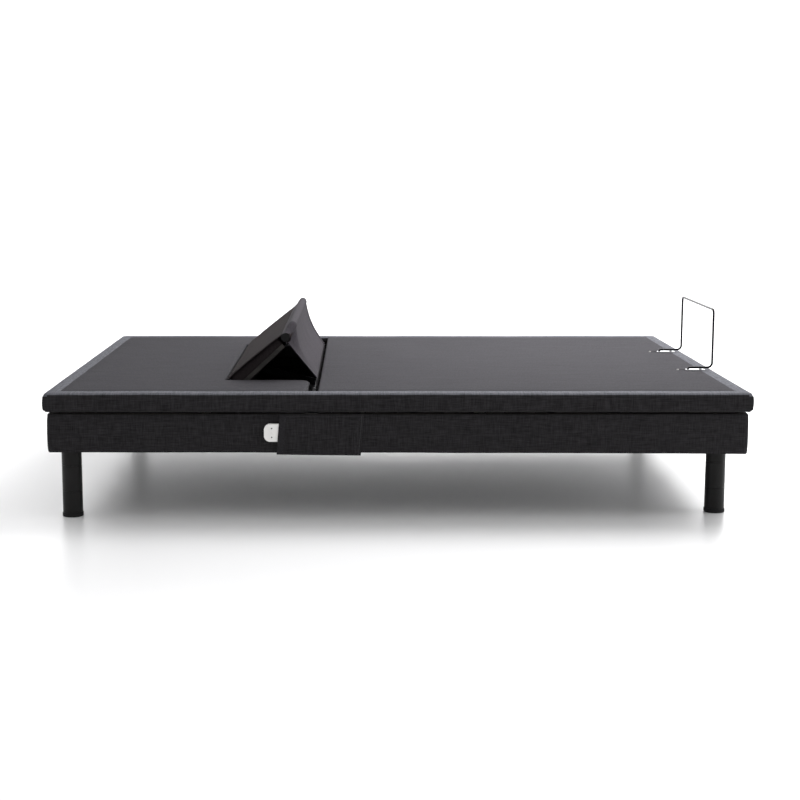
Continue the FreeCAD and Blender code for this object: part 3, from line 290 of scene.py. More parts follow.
def coated(name, color, roughness, grain=900, metallic=0.0, variation=0.12, **inputs):
    """Paint, plastic or metal with a fine grain in its colour, gloss and surface."""
    material = new_material(name, color, roughness, metallic, **inputs)
    speck = noise_node(material, (grain, grain, grain))
    patches = noise_node(material, (9, 9, 9))
    smears = noise_node(material, (25, 25, 25))
    color_by(material, patches, scaled(color, 1 - variation), scaled(color, 1 + variation))
    roughness_by(material, smears, roughness * 0.85, roughness * 1.15)
    bump_by(material, speck, 0.25, 0.0002)
    return material


def stained_plywood():
    """Black-stained wood with its grain along X."""
    color = (0.020, 0.018, 0.016)
    material = new_material("stained_plywood", color, 0.7)
    grain = noise_node(material, (3, 60, 60), detail=6)
    color_by(material, grain, scaled(color, 0.6), scaled(color, 1.6))
    bump_by(material, grain, 0.2, 0.0005)
    return material


def shaded_particle_board():
    """Board of pressed chips, made dark as painted shade for the unlit inside of the box."""
    color = (0.030, 0.026, 0.022)
    material = new_material("shaded_particle_board", color, 0.8)
    chips = noise_node(material, (260, 260, 260), detail=5)
    color_by(material, chips, scaled(color, 0.6), scaled(color, 1.3))
    bump_by(material, chips, 0.35, 0.0006)
    return material


SLUB_WARP, SLUB_WEFT = (28, 420, 420), (420, 28, 28)
THREAD_WARP, THREAD_WEFT = (900, 900, 900), (400, 900, 900)
# LINEN is the cloth of the deck sides, box and pocket; the band along the deck's top is the same linen made
# about five times lighter, as painted light on its upward faces.
LINEN = woven("linen", (0.018, 0.017, 0.0185), 0.6, SLUB_WARP, SLUB_WEFT, sheen=0.02)
LIT_BORDER_LINEN = woven("lit_border_linen", (0.098, 0.099, 0.111), 0.45, SLUB_WARP, SLUB_WEFT, specular=0.04)
TOP_CLOTH = woven("top_cloth", (0.046, 0.0445, 0.049), 0.22, (9, 300, 300), (420, 40, 40), bump=0.25,
                  specular=0.02)
NOTCH_CLOTH = woven("notch_cloth", (0.016, 0.015, 0.017), 0.3, (60, 500, 500), (500, 60, 60))
UNDER_CLOTH = woven("under_cloth", (0.02, 0.02, 0.021), 0.3, (90, 260, 260), (260, 90, 90))
LUMBAR_KNIT = woven("lumbar_knit", (0.023, 0.019, 0.020), 0.2, (120, 500, 500), (500, 60, 60), bump=0.25,
                    specular=0.03)
SLING_KNIT = woven("sling_knit", (0.040, 0.036, 0.042), 0.18, (90, 420, 420), (420, 60, 60), sheen=0.02,
                   bump=0.25, specular=0.04)
# Dark cloth for the pocket's hem; it also paints shade on the sling down in the hinge gap and in the
# retainer slits.
DARK_HEM_AND_PAINTED_SHADE = woven("dark_hem_and_painted_shade", (0.02, 0.019, 0.021), 0.3, (200, 500, 500), (500, 200, 200))
THREAD = woven("thread", (0.55, 0.54, 0.52), 0.2, THREAD_WARP, THREAD_WEFT)
DARK_THREAD = woven("dark_thread", (0.05, 0.05, 0.053), 0.2, THREAD_WARP, THREAD_WEFT)
POWDER_COAT = coated("powder_coat", (0.022, 0.022, 0.024), 0.5, grain=700)
BLACK_ZINC = coated("black_zinc", (0.022, 0.022, 0.024), 0.42, grain=500, metallic=0.3,
                    Specular_IOR_Level=0.25)
BRIGHT_ZINC = coated("bright_zinc", (0.62, 0.62, 0.63), 0.32, grain=300, metallic=1.0, variation=0.08)
SATIN_LEG = coated("satin_leg", (0.008, 0.0077, 0.0077), 0.34, grain=650, Specular_IOR_Level=0.16)
TEXTURED_PLASTIC = coated("textured_plastic", (0.009, 0.009, 0.0095), 0.55, grain=450,
                          Specular_IOR_Level=0.15)
TUBE_PAINT = coated("tube_paint", (0.028, 0.028, 0.03), 0.35, grain=800)
NYLON = coated("nylon", (0.62, 0.61, 0.57), 0.5, grain=350, Subsurface_Weight=0.1)
WHITE_SATIN = coated("white_satin", (0.86, 0.85, 0.83), 0.33, grain=600, variation=0.03,
                     Coat_Weight=0.1)
KEY_RUBBER = coated("key_rubber", (0.06, 0.06, 0.064), 0.6, grain=700)
GLOSS_BLACK = coated("gloss_black", (0.006, 0.006, 0.007), 0.30, grain=500, Specular_IOR_Level=0.07)
PLYWOOD = stained_plywood()
SHADED_PARTICLE_BOARD = shaded_particle_board()

CAD_LOOKS = {
    POWDER_COAT: ("side_rails", "end_rails", "seat_cross_tubes", "motor_cross_tubes", "leg_plates",
                  "pivot_blocks", "head_lift_frame", "thigh_lift_frame", "foot_links",
                  "head_runner_plates", "thigh_runner_plates", "lumbar_motor"),
    BLACK_ZINC: ("head_hinge_lugs", "seat_hinge_lugs", "thigh_hinge_lugs", "foot_brackets",
                 "lumbar_hinge_lugs", "lumbar_brackets", "lumbar_bar", "sling_rod"),
    BRIGHT_ZINC: ("seat_hinge_pins", "knee_pins", "frame_bolts", "head_motor_rod", "thigh_motor_rod",
                  "lumbar_motor_rod", "retainer_plates"),
    SATIN_LEG: ("leg_upper_sections", "leg_middle_sections", "leg_lower_sections"),
    TEXTURED_PLASTIC: ("leg_glides", "motor_housings", "control_box", "lumbar_bar_caps"),
    TUBE_PAINT: ("motor_tubes",),
    NYLON: ("head_rollers", "thigh_rollers"),
    WHITE_SATIN: ("remote_back_shell", "remote_front_shell"),
    KEY_RUBBER: ("remote_upper_button", "remote_lower_button", "remote_head_rocker", "remote_foot_rocker"),
    GLOSS_BLACK: ("retainer_bar", "retainer_fasteners"),
    PLYWOOD: ("head_board", "seat_board", "thigh_board", "foot_board", "lumbar_board"),
    SHADED_PARTICLE_BOARD: ("box_side_boards", "box_end_boards"),
}


def dress_cad_nodes():
    for material, names in CAD_LOOKS.items():
        for name in names:
            for slot in frame["nodes"][name].material_slots:
                slot.material = material


# ---------------------------------------------------------------- deck cover
def seam_distance(x, y):
    """How far in from the linen band's inner seam; below zero on the band."""
    return min(HALF_WIDTH - BORDER - abs(y), x - HEAD_END - END_BORDER, FOOT_END - END_BORDER - x)


def outer_distance(x, y):
    """Distance to the deck's outer edge."""
    return min(x - HEAD_END, FOOT_END - x, HALF_WIDTH - abs(y))


def opening_distance(x, y):
    """Distance to the opening: the lumbar notch and the gap beside it."""
    gap = max(HEAD_HIGH.x - x, x - SEAT_LOW.x, abs(y) - GAP_END)
    notch = max(NOTCH_BACK - x, x - SEAT_LOW.x, abs(y) - NOTCH_HALF)
    return min(gap, notch)


def in_plan(x, y):
    """A point's place after the corners are rounded, and the way out from there."""
    away = math.copysign(1, y)
    for corner_x, sign_x, corner_y, sign_y, radius in CORNERS:
        a = radius - (corner_x - x) * sign_x
        b = radius - (corner_y - abs(y)) * sign_y
        if 0 < a <= radius + 1e-9 and 0 < b <= radius + 1e-9:
            length = math.hypot(a, b)
            squeeze = max(a, b) / length
            return (x + sign_x * a * (squeeze - 1), y + away * sign_y * b * (squeeze - 1),
                    sign_x * a / length, away * sign_y * b / length)
    ways = [(x - HEAD_END, -1, 0), (FOOT_END - x, 1, 0), (HALF_WIDTH - abs(y), 0, away)]
    inside_x = HEAD_HIGH.x - TINY < x < SEAT_LOW.x + TINY
    if abs(y) < NOTCH_HALF + TINY:
        ways += [(abs(NOTCH_BACK - x), 1, 0), (abs(x - SEAT_LOW.x), -1, 0)]
    elif NOTCH_BACK < x < HEAD_HIGH.x - TINY:
        ways.append((abs(abs(y) - NOTCH_HALF), 0, -away))
    if abs(y) < GAP_END + TINY:
        ways += [(abs(HEAD_HIGH.x - x), 1, 0), (abs(x - SEAT_LOW.x), -1, 0)]
    elif inside_x:
        ways.append((abs(abs(y) - GAP_END), 0, -away))
    _, out_x, out_y = min(ways)
    return x, y, out_x, out_y


def top_height(x, y):
    """The top face, with a puckered groove at the band's seam and a slight swell along the band."""
    seam = seam_distance(x, y)
    pucker = 1 + 0.7 * noise.noise(Vector((x * 45, y * 45, 3)))
    groove = SEAM_DEPTH * max(0.0, 1 - abs(seam) / SEAM_REACH) * pucker
    border_swell = 0.0007 * math.exp(-((seam + 0.022) / 0.018) ** 2)
    rounding = max(drop(outer_distance(x, y), TOP_ROUND), drop(opening_distance(x, y), OPENING_ROUND))
    return DECK_TOP - rounding - groove + border_swell + wave(x, y, 0, 0.16, 0.0007)


def under_height(x, y):
    """The underside; over a hinge gap the cover is only a thin skin."""
    edge = min(outer_distance(x, y), opening_distance(x, y))
    if HALF_WIDTH - abs(y) > SKIRT - TINY:
        for start, end in HINGE_GAPS:
            if start < x < end:
                return DECK_TOP - HINGE_SKIN
    sag = wave(x, y, 5, 0.14, 0.0012) * max(0.0, 1 - edge / 0.03)
    return UNDERSIDE + drop(edge, BOTTOM_ROUND) + sag


def side_bulge(x, y, share):
    """How far a side wall stands out at a share of its height."""
    swell = 0.0016 * math.sin(math.pi * share)
    return swell + wave(x * 1.3, y * 1.3, share * 0.05, 0.075, 0.0016) * math.sin(math.pi * share) ** 0.5


def deck_x_lines():
    """Where the cover's mesh has a line across the deck."""
    wanted = [HEAD_END + s for s in EDGE_STEPS] + [FOOT_END - s for s in EDGE_STEPS]
    wanted += [end + s for end in (HEAD_END + END_BORDER, FOOT_END - END_BORDER) for s in SEAM_STEPS]
    wanted += [NOTCH_BACK - s for s in EDGE_STEPS] + [HEAD_HIGH.x - s for s in WING_STEPS]
    wanted += [SEAT_LOW.x + s for s in EDGE_STEPS]
    for start, end in HINGE_GAPS:
        wanted += [start, start + HINGE_LIP, end - HINGE_LIP, end]
        wanted += [start + (end - start) * n / 6 for n in range(-2, 9)]
    wanted += [MID_SEAT, MID_THIGH]
    return filled_lines(wanted, HEAD_END, FOOT_END, LINE_STEP_X)


def deck_y_lines():
    """Where the cover's mesh has a line along the deck."""
    half = [HALF_WIDTH - SKIRT]
    half += [HALF_WIDTH - s for s in EDGE_STEPS] + [GAP_END + s for s in EDGE_STEPS[:4]]
    half += [HALF_WIDTH - BORDER + s for s in SEAM_STEPS] + [NOTCH_HALF + s for s in WING_STEPS]
    return filled_lines([*half, *[-v for v in half]], -HALF_WIDTH, HALF_WIDTH, LINE_STEP_Y)


def cover_cloth(polygon):
    """Which of the cover's five cloths a face has."""
    centre = polygon.center
    if polygon.normal.z > 0.3:
        # Upward faces on the band get the lighter copy of the linen: painted light.
        return 1 if seam_distance(centre.x, centre.y) < 0 else 2
    if centre.z < UNDER_EDGE:
        return 3
    return 4 if outer_distance(centre.x, centre.y) > SKIRT else 0


def deck_cover(name, start, end):
    """The cover between two cross lines of the deck, as one closed mesh."""
    xs = [x for x in deck_x_lines() if start - TINY <= x <= end + TINY]
    ys = deck_y_lines()
    solid = [[opening_distance((xs[i] + xs[i + 1]) / 2, (ys[j] + ys[j + 1]) / 2) > 0
              for j in range(len(ys) - 1)] for i in range(len(xs) - 1)]

    def is_solid(i, j):
        return 0 <= i < len(xs) - 1 and 0 <= j < len(ys) - 1 and solid[i][j]

    points, faces, walls, top, under = [], [], {}, {}, {}

    def node(i, j):
        if (i, j) not in top:
            x, y, _, _ = in_plan(xs[i], ys[j])
            top[i, j] = len(points)
            points.append((x, y, top_height(xs[i], ys[j])))
            under[i, j] = len(points)
            points.append((x, y, under_height(xs[i], ys[j])))
        return top[i, j], under[i, j]

    def wall(i, j):
        """Points down the wall at a node, from the top face to the underside."""
        if (i, j) not in walls:
            high, low = node(i, j)
            x, y, out_x, out_y = in_plan(xs[i], ys[j])
            on_edge = min(outer_distance(xs[i], ys[j]), abs(opening_distance(xs[i], ys[j]))) < TINY
            column = [high]
            for share in WALL_SHARES[1:-1]:
                bulge = side_bulge(x, y, share) if on_edge else 0.0
                z = points[high][2] + (points[low][2] - points[high][2]) * share
                column.append(len(points))
                points.append((x + out_x * bulge, y + out_y * bulge, z))
            walls[i, j] = column + [low]
        return walls[i, j]

    for i in range(len(xs) - 1):
        for j in range(len(ys) - 1):
            if not solid[i][j]:
                continue
            ring = [(i, j), (i + 1, j), (i + 1, j + 1), (i, j + 1)]
            faces.append(tuple(node(*n)[0] for n in ring))
            faces.append(tuple(node(*n)[1] for n in reversed(ring)))
            beside = [(i, j - 1), (i + 1, j), (i, j + 1), (i - 1, j)]
            for n, neighbour in enumerate(beside):
                if is_solid(*neighbour):
                    continue
                first, second = wall(*ring[n]), wall(*ring[(n + 1) % 4])
                for level in range(len(WALL_SHARES) - 1):
                    faces.append((first[level], first[level + 1], second[level + 1], second[level]))

    return make_object(name, points, faces, LINEN, LIT_BORDER_LINEN, TOP_CLOTH, UNDER_CLOTH, NOTCH_CLOTH,
                       face_material=cover_cloth, smooth=50)


def add_deck_covers():
    head = deck_cover("head_deck_cover", HEAD_END, MID_SEAT)
    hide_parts("head_pad", "seat_pad")
    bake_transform(head)
    thigh = deck_cover("thigh_deck_cover", MID_SEAT, MID_THIGH)
    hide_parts("thigh_pad")
    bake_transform(thigh)
    foot = deck_cover("foot_deck_cover", MID_THIGH, FOOT_END)
    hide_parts("foot_pad")
    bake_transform(foot)


# ---------------------------------------------------------------- box cover and dust sheet
BOX_LOW, BOX_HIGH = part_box("box_cover")
BOX_ROUND = 0.012
BOX_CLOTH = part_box("box_side_boards")[0].y - BOX_LOW.y
DUST_MARGIN = 0.002     # between the dust sheet and the boards or legs
DUST_THICKNESS = 0.0008
DUST_SAG = 0.006
DUST_STEP = 0.05        # widest spacing of the dust sheet's mesh lines
LEG_HOLE = 0.064        # size of the square holes in the dust sheet
FOOT_LEG_Y = (0.603, 0.667)     # the foot legs stand further in than the head legs


def rounded_rectangle(half_x, half_y, radius, step):
    """Points round a rounded rectangle, with the way out at each."""
    points = []
    for sign_x, sign_y, first in ((1, 1, 0), (-1, 1, 90), (-1, -1, 180), (1, -1, 270)):
        centre = Vector((sign_x * (half_x - radius), sign_y * (half_y - radius)))
        for n in range(5):
            angle = math.radians(first + 22.5 * n)
            out = Vector((math.cos(angle), math.sin(angle)))
            points.append((centre + radius * out, out))
    ring = []
    for here, there in zip(points, points[1:] + points[:1]):
        pieces = max(1, math.ceil((there[0] - here[0]).length / step))
        ring += [(here[0].lerp(there[0], n / pieces), here[1].lerp(there[1], n / pieces).normalized())
                 for n in range(pieces)]
    return ring


def box_profile(x, y):
    """The sleeve's section at a place: (distance out, height), going round once.

    The lower edge hangs a little deeper towards the foot end.
    """
    high = BOX_HIGH.z - 0.001 + wave(x, y, 1, 0.22, 0.0016)
    sag = 0.004 * max(0.0, x / FOOT_END) + wave(x, y, 2, 0.30, 0.0016)
    low = BOX_LOW.z - sag
    swell = wave(x, y, 3, 0.12, 0.0012)
    return [(-0.004, high + 0.0005), (-0.0022, high), (-0.0006, high - 0.003),
            (0.0005 + swell, high - 0.02), (0.0012 + swell, (high + low) / 2),
            (0.0008 + swell, low + 0.02), (-0.0004, low + 0.004), (-0.002, low),
            (-BOX_CLOTH, low), (-BOX_CLOTH, low + 0.004), (-BOX_CLOTH, high)]


def add_box_cover():
    ring = rounded_rectangle(BOX_HIGH.x, BOX_HIGH.y, BOX_ROUND, 0.025)
    points = []
    for place, out in ring:
        for away, height in box_profile(place.x, place.y):
            side = place + out * away
            points.append((side.x, side.y, height))
    count = len(box_profile(0, 0))
    faces = grid_faces(len(ring), count, closed=True)
    last = (len(ring) - 1) * count
    for n in range(count):
        after = (n + 1) % count
        faces.append((last + n, last + after, after, n))
    cover = make_object("box_sleeve", points, faces, LINEN, smooth=60)
    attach(cover, "base")
    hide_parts("box_cover")


def add_dust_sheet():
    """The thin sheet under the box, cut square round each leg, sagging a little in the middle."""
    legs_low, legs_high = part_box("leg_glides")
    head_leg_y = (legs_high.y - LEG_HOLE, legs_high.y + DUST_MARGIN)
    holes = ((legs_low.x - DUST_MARGIN, legs_low.x + LEG_HOLE, *head_leg_y),
             (legs_high.x - LEG_HOLE, legs_high.x + DUST_MARGIN, *FOOT_LEG_Y))
    edge_x, edge_y = BOX_HIGH.x - BOX_CLOTH - DUST_MARGIN, BOX_HIGH.y - BOX_CLOTH - DUST_MARGIN
    half = [v for hole in holes for v in hole[2:]]
    xs = filled_lines([v for hole in holes for v in hole[:2]], -edge_x, edge_x, DUST_STEP)
    ys = filled_lines([*half, *[-v for v in half]], -edge_y, edge_y, DUST_STEP)

    def height(x, y):
        sag = DUST_SAG * (1 - (x / edge_x) ** 4) * (1 - (y / edge_y) ** 4)
        return BOX_LOW.z + DUST_THICKNESS - sag * (0.75 + 0.25 * noise.noise(Vector((x * 3, y * 3, 9))))

    def in_hole(x, y):
        return any(low_x < x < high_x and low_y < abs(y) < high_y for low_x, high_x, low_y, high_y in holes)

    faces = []
    for i in range(len(xs) - 1):
        for j in range(len(ys) - 1):
            if not in_hole((xs[i] + xs[i + 1]) / 2, (ys[j] + ys[j + 1]) / 2):
                first = i * len(ys) + j
                faces.append((first, first + 1, first + len(ys) + 1, first + len(ys)))
    sheet = make_object("dust_sheet", [(x, y, height(x, y)) for x in xs for y in ys], faces, UNDER_CLOTH)
    thicken(sheet, DUST_THICKNESS)
    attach(sheet, "base")
    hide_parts("box_cover")


# ---------------------------------------------------------------- remote pocket
POCKET_LOW, POCKET_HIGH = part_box("remote_pocket")
POCKET_CLOTH = 0.0022
POCKET_LEAN = 0.010     # how much further back its top edge is than its bottom edge
POCKET_RIM = 0.0016     # how far the sewn edges stand out
HEM_COLUMNS = 5
STITCHES_ALONG, STITCHES_UP = 60, 28
REMOTE_END = 0.47       # where the remote ends, as a share of the pocket's length
STITCH_LENGTH = 0.0045
STITCH_RADIUS = 0.0006
STITCH_RINGS = ((-0.5, 0.3), (-0.25, 1.0), (0.25, 1.0), (0.5, 0.3))    # (share of length, of radius)


def stitch_row(name, places, direction):
    """Short raised stitches along direction, one at each place."""
    out = Vector((0, 1, 0))
    side = direction.cross(out)
    points, faces = [], []
    for place in places:
        first = len(points)
        for along, width in STITCH_RINGS:
            for a, b in circle(STITCH_RADIUS * width, 6):
                points.append(place + direction * (along * STITCH_LENGTH) + out * a + side * b)
        faces += [tuple(first + index for index in face) for face in tube_faces(len(STITCH_RINGS), 6)]
    row = make_object(name, points, faces, DARK_THREAD, smooth=60)
    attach(row, "base")


def pocket_surface(u, v):
    """The pocket's outer cloth; u runs from the mouth to the sewn end, v from bottom to top.

    It stands out over the remote and falls slack behind it.
    """
    length = POCKET_HIGH.x - POCKET_LOW.x
    lean = POCKET_LEAN * (v - 0.5)
    x = POCKET_LOW.x + 0.002 + u * (length - 0.004) + lean
    low = POCKET_LOW.z + 0.001 - 0.003 * u
    high = POCKET_HIGH.z - 0.003
    z = low + (high - low) * v
    full = POCKET_HIGH.y - POCKET_LOW.y - POCKET_CLOTH / 2
    rim = min(v / 0.14, (1 - v) / 0.16, (1 - u) / 0.10, 1.0)
    lift = math.sin(max(rim, 0.0) * math.pi / 2) ** 0.8
    behind = max(0.0, (u - REMOTE_END) / (1 - REMOTE_END))
    slack = 1.0 - behind * (0.32 - 0.2 * noise.noise(Vector((u * 4, v * 3, 7))))
    out = POCKET_RIM + (full - POCKET_RIM) * min(1.0, lift * slack)
    return Vector((x, POCKET_HIGH.y - out, z))


def add_pocket():
    columns, rows = 50, 30
    grid = [[pocket_surface(c / columns, r / rows) for c in range(columns + 1)]
            for r in range(rows + 1)]
    cloth = thick_sheet("pocket_cloth", grid, POCKET_CLOTH, LINEN)
    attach(cloth, "base")
    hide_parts("remote_pocket")
    hem_grid = [[point + Vector((0, -0.0013, 0)) for point in row[:HEM_COLUMNS]] for row in grid]
    hem = thick_sheet("pocket_mouth_hem", hem_grid, 0.0012, DARK_HEM_AND_PAINTED_SHADE)
    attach(hem, "base")


def add_pocket_stitches():
    """Rows of stitches along the pocket's three sewn edges and its hem."""
    along, up = Vector((1, 0, 0)), Vector((0, 0, 1))
    us = [n / STITCHES_ALONG for n in range(1, STITCHES_ALONG)]
    vs = [n / STITCHES_UP for n in range(1, STITCHES_UP)]
    rows_of_stitches = (
        ("pocket_top_stitches", [(u, 0.965) for u in us], along),
        ("pocket_bottom_stitches", [(u, 0.035) for u in us], along),
        ("pocket_end_stitches", [(0.975, v) for v in vs], up),
        ("pocket_mouth_stitches", [(0.07, v) for v in vs[2:-2]], up))
    for name, spots, direction in rows_of_stitches:
        places = [pocket_surface(u, v) + Vector((0, -POCKET_CLOTH / 2 - 0.0002, 0)) for u, v in spots]
        stitch_row(name, places, direction)


# ---------------------------------------------------------------- lumbar panel and sling
# Sizes in the panel's section are (along, up): along from the hinge's axis towards the tip, and
# up from the axis, square to the panel.
PANEL_START, PANEL_END = 0.0052, 0.208
PANEL_RISE, PANEL_ROOT, PANEL_TIP = 0.008, -0.040, -0.027    # the pad's top, and its underside at each end
BAR_ALONG, BAR_UP = 0.223, -0.005
BAR_SLEEVE = 0.0136     # outer radius of the cloth round the bar
ROLL_ALONG, ROLL_UP, ROLL_RADIUS = 0.257, 0.006, 0.011
DIP = 0.065             # length over which the crest comes down to the bar at the near end
KNOB = 0.019            # bare end of the roll at the far end
CREST_STATIONS = 110
SLING_HALF = 0.450
SLING_BEND = 0.20       # where the sling leaves the gap, as a share of its length
SLING_SPREAD = 0.014    # how much wider it grows up to the bar's near end
PAD_MOVE = 0.006        # the most that the padding may move in the simulation
PAD_VOXEL = 0.0065
SIMULATION_FRAMES = 20


def on_panel(along, up, across):
    """A point given in the panel's section and across the bed, in its raised place."""
    cosine, sine = math.cos(LUMBAR_ANGLE), math.sin(LUMBAR_ANGLE)
    return Vector((LUMBAR_AXIS.x + along * cosine - up * sine, across,
                   LUMBAR_AXIS.z + along * sine + up * cosine))


def in_panel_section(point):
    """The way back: how far along and up the panel a raised point lies."""
    cosine, sine = math.cos(LUMBAR_ANGLE), math.sin(LUMBAR_ANGLE)
    out = point - LUMBAR_AXIS
    return out.x * cosine + out.z * sine, -out.x * sine + out.z * cosine


def arc(centre_along, centre_up, radius, first, last, count):
    """Points on an arc of the panel's section, between two angles in degrees."""
    angles = [math.radians(first + (last - first) * n / (count - 1)) for n in range(count)]
    return [(centre_along + radius * math.cos(a), centre_up + radius * math.sin(a)) for a in angles]


def panel_pad_profile():
    """The pad's section, with rounded corners."""
    inset = 0.0010
    low, high = PANEL_START + inset, PANEL_END - inset
    top = PANEL_RISE - inset
    return (arc(high - 0.008, top - 0.008, 0.008, 0, 90, 5)
            + arc(low + 0.006, top - 0.006, 0.006, 90, 180, 5)
            + arc(low + 0.004, PANEL_ROOT + inset + 0.004, 0.004, 180, 270, 4)
            + arc(high - 0.005, PANEL_TIP + inset + 0.005, 0.005, 274, 360, 4))


def add_cloth(item):
    """The pad's cover as cloth, blown up from inside."""
    cloth = item.modifiers.new("cloth", "CLOTH")
    cloth.settings.quality = 6
    cloth.settings.mass = 0.25
    cloth.settings.tension_stiffness = 12
    cloth.settings.compression_stiffness = 12
    cloth.settings.shear_stiffness = 6
    cloth.settings.bending_stiffness = 1.5
    cloth.settings.use_pressure = True
    cloth.settings.uniform_pressure_force = 4.0
    cloth.settings.effector_weights.gravity = 0
    cloth.collision_settings.use_collision = False


def inflate(item):
    """Puff a closed mesh up with a short cloth simulation, and keep the result."""
    remesh = item.modifiers.new("voxels", "REMESH")
    remesh.mode = "VOXEL"
    remesh.voxel_size = PAD_VOXEL
    apply_modifiers(item)
    before = [v.co.copy() for v in item.data.vertices]
    add_cloth(item)
    for number in range(1, SIMULATION_FRAMES + 1):
        bpy.context.scene.frame_set(number)
    puffed = item.evaluated_get(bpy.context.evaluated_depsgraph_get()).data
    after = [v.co.copy() for v in puffed.vertices]
    item.modifiers.clear()
    bpy.context.scene.frame_set(1)
    for vertex, old, new in zip(item.data.vertices, before, after):
        move = new - old
        if move.length > PAD_MOVE:
            move *= PAD_MOVE / move.length
        vertex.co = old + move
    smooth = item.modifiers.new("smooth", "SMOOTH")
    smooth.factor = 0.5
    smooth.iterations = 3
    finer = item.modifiers.new("finer", "SUBSURF")
    finer.levels = 1
    apply_modifiers(item)
    finish_shading(item, 60)


def add_lumbar_pad():
    """The panel's padding, puffed up but kept clear of the bar and the notch's sides."""
    profile = panel_pad_profile()
    stations = [-PANEL_HALF + 0.002, -PANEL_HALF + 0.006, 0, PANEL_HALF - 0.006, PANEL_HALF - 0.002]
    points = [on_panel(along, up, across) for across in stations for along, up in profile]
    pad = make_object("lumbar_cover", points, tube_faces(len(stations), len(profile)), LUMBAR_KNIT)
    inflate(pad)
    for vertex in pad.data.vertices:
        along, up = in_panel_section(vertex.co)
        along = min(max(along, PANEL_START - 0.002), PANEL_END + 0.002)
        up = min(up, PANEL_RISE + 0.0035)
        across = min(max(vertex.co.y, -PANEL_HALF - 0.002), PANEL_HALF + 0.002)
        vertex.co = on_panel(along, up, across)
    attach(pad, "lumbar_panel")
    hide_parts("lumbar_pad")


def add_bar_sleeve():
    """The cloth tube round the bar at the panel's tip."""
    bare, thickness = 0.0085, 0.0013
    rows, columns = 91, 24
    length = 2 * (PANEL_HALF - bare)
    points = []
    for radius in (BAR_SLEEVE, BAR_SLEEVE - thickness):
        for row in range(rows):
            across = -PANEL_HALF + bare + row * length / (rows - 1)
            for a, b in circle(radius, columns):
                swell = 1 + 0.03 * noise.noise(Vector((across * 30, a * 60, b * 60)))
                points.append(on_panel(BAR_ALONG + a * swell, BAR_UP + b * swell, across))
    outer = grid_faces(rows, columns, closed=True)
    inside = rows * columns
    faces = outer + [tuple(inside + index for index in face) for face in outer]
    for row in (0, (rows - 1) * columns):
        for n in range(columns):
            after = (n + 1) % columns
            faces.append((row + n, row + after, inside + row + after, inside + row + n))
    sleeve = make_object("bar_sleeve", points, faces, LUMBAR_KNIT, smooth=60)
    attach(sleeve, "lumbar_panel")


def near_end(across, reach):
    """1 at the panel's near end, falling smoothly to 0 at reach from it."""
    share = min(max(1 - (across + PANEL_HALF) / reach, 0.0), 1.0)
    return share * share * (3 - 2 * share)


def crest_line():
    """The cloth's path over the panel's top: pad, bar, and round the roll."""
    over = [(0.0080, 0.0078), (0.030, 0.0100), (0.080, 0.0112), (0.130, 0.0112), (0.180, 0.0108),
            (0.205, 0.0104), (0.223, 0.0102), (0.238, 0.0125), (0.247, 0.0160)]
    return over + arc(ROLL_ALONG, ROLL_UP, ROLL_RADIUS + 0.0014, 92, -95, 12)


def add_crest_cloth():
    """The panel's stretched top cloth, which ends in a hem rolled round a cord."""
    line = crest_line()
    round_bar = line[:6] + arc(BAR_ALONG, BAR_UP, BAR_SLEEVE + 0.001, 90, -118, len(line) - 6)
    stations = [PANEL_HALF * (2 * n / CREST_STATIONS - 1) for n in range(CREST_STATIONS + 1)]
    rows = []
    for (along, up), (bar_along, bar_up) in zip(line, round_bar):
        row = []
        for across in stations:
            side = max(0.0, abs(across) - PANEL_HALF + 0.012) / 0.012
            ripple = wave(across, along, 0, 0.05, 0.0006) * (1 if along < 0.245 else 0.3)
            down = near_end(across, DIP)
            on_roll = along > BAR_ALONG + 0.01 and across > 0
            row.append(on_panel(along + (bar_along - along) * down,
                                up + (bar_up - up) * down + ripple - 0.0025 * side ** 2,
                                across * (1 - KNOB / PANEL_HALF) if on_roll else across))
        rows.append(row)
    cloth = thick_sheet("lumbar_top_cloth", rows, 0.0016, LUMBAR_KNIT, SLING_KNIT)
    sling_start = on_panel(BAR_ALONG + 0.012, 0, 0).z
    for polygon in cloth.data.polygons:
        if polygon.center.z > sling_start:
            polygon.material_index = 1
    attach(cloth, "lumbar_panel")


def add_sling_roll():
    """The hemmed roll along the tip, tapered at the near end, with a neck and a knob at the far end."""
    far_end = ((0.022, 0.95), (0.018, 0.68), (0.011, 0.72), (0.008, 1.12), (0.003, 1.16), (0.0005, 0.75))
    first, last = -PANEL_HALF + DIP, PANEL_HALF - far_end[0][0]
    rings = [(first + n * (last - first) / 34, 1.0 if n else 0.2) for n in range(34)]
    rings += [(PANEL_HALF - inset, width) for inset, width in far_end]
    points = [on_panel(ROLL_ALONG + a, ROLL_UP + b, across)
              for across, width in rings for a, b in circle(ROLL_RADIUS * width, 20)]
    roll = make_object("sling_roll", points, tube_faces(len(rings), 20), SLING_KNIT, smooth=60)
    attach(roll, "lumbar_panel")
    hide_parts("lumbar_sling")


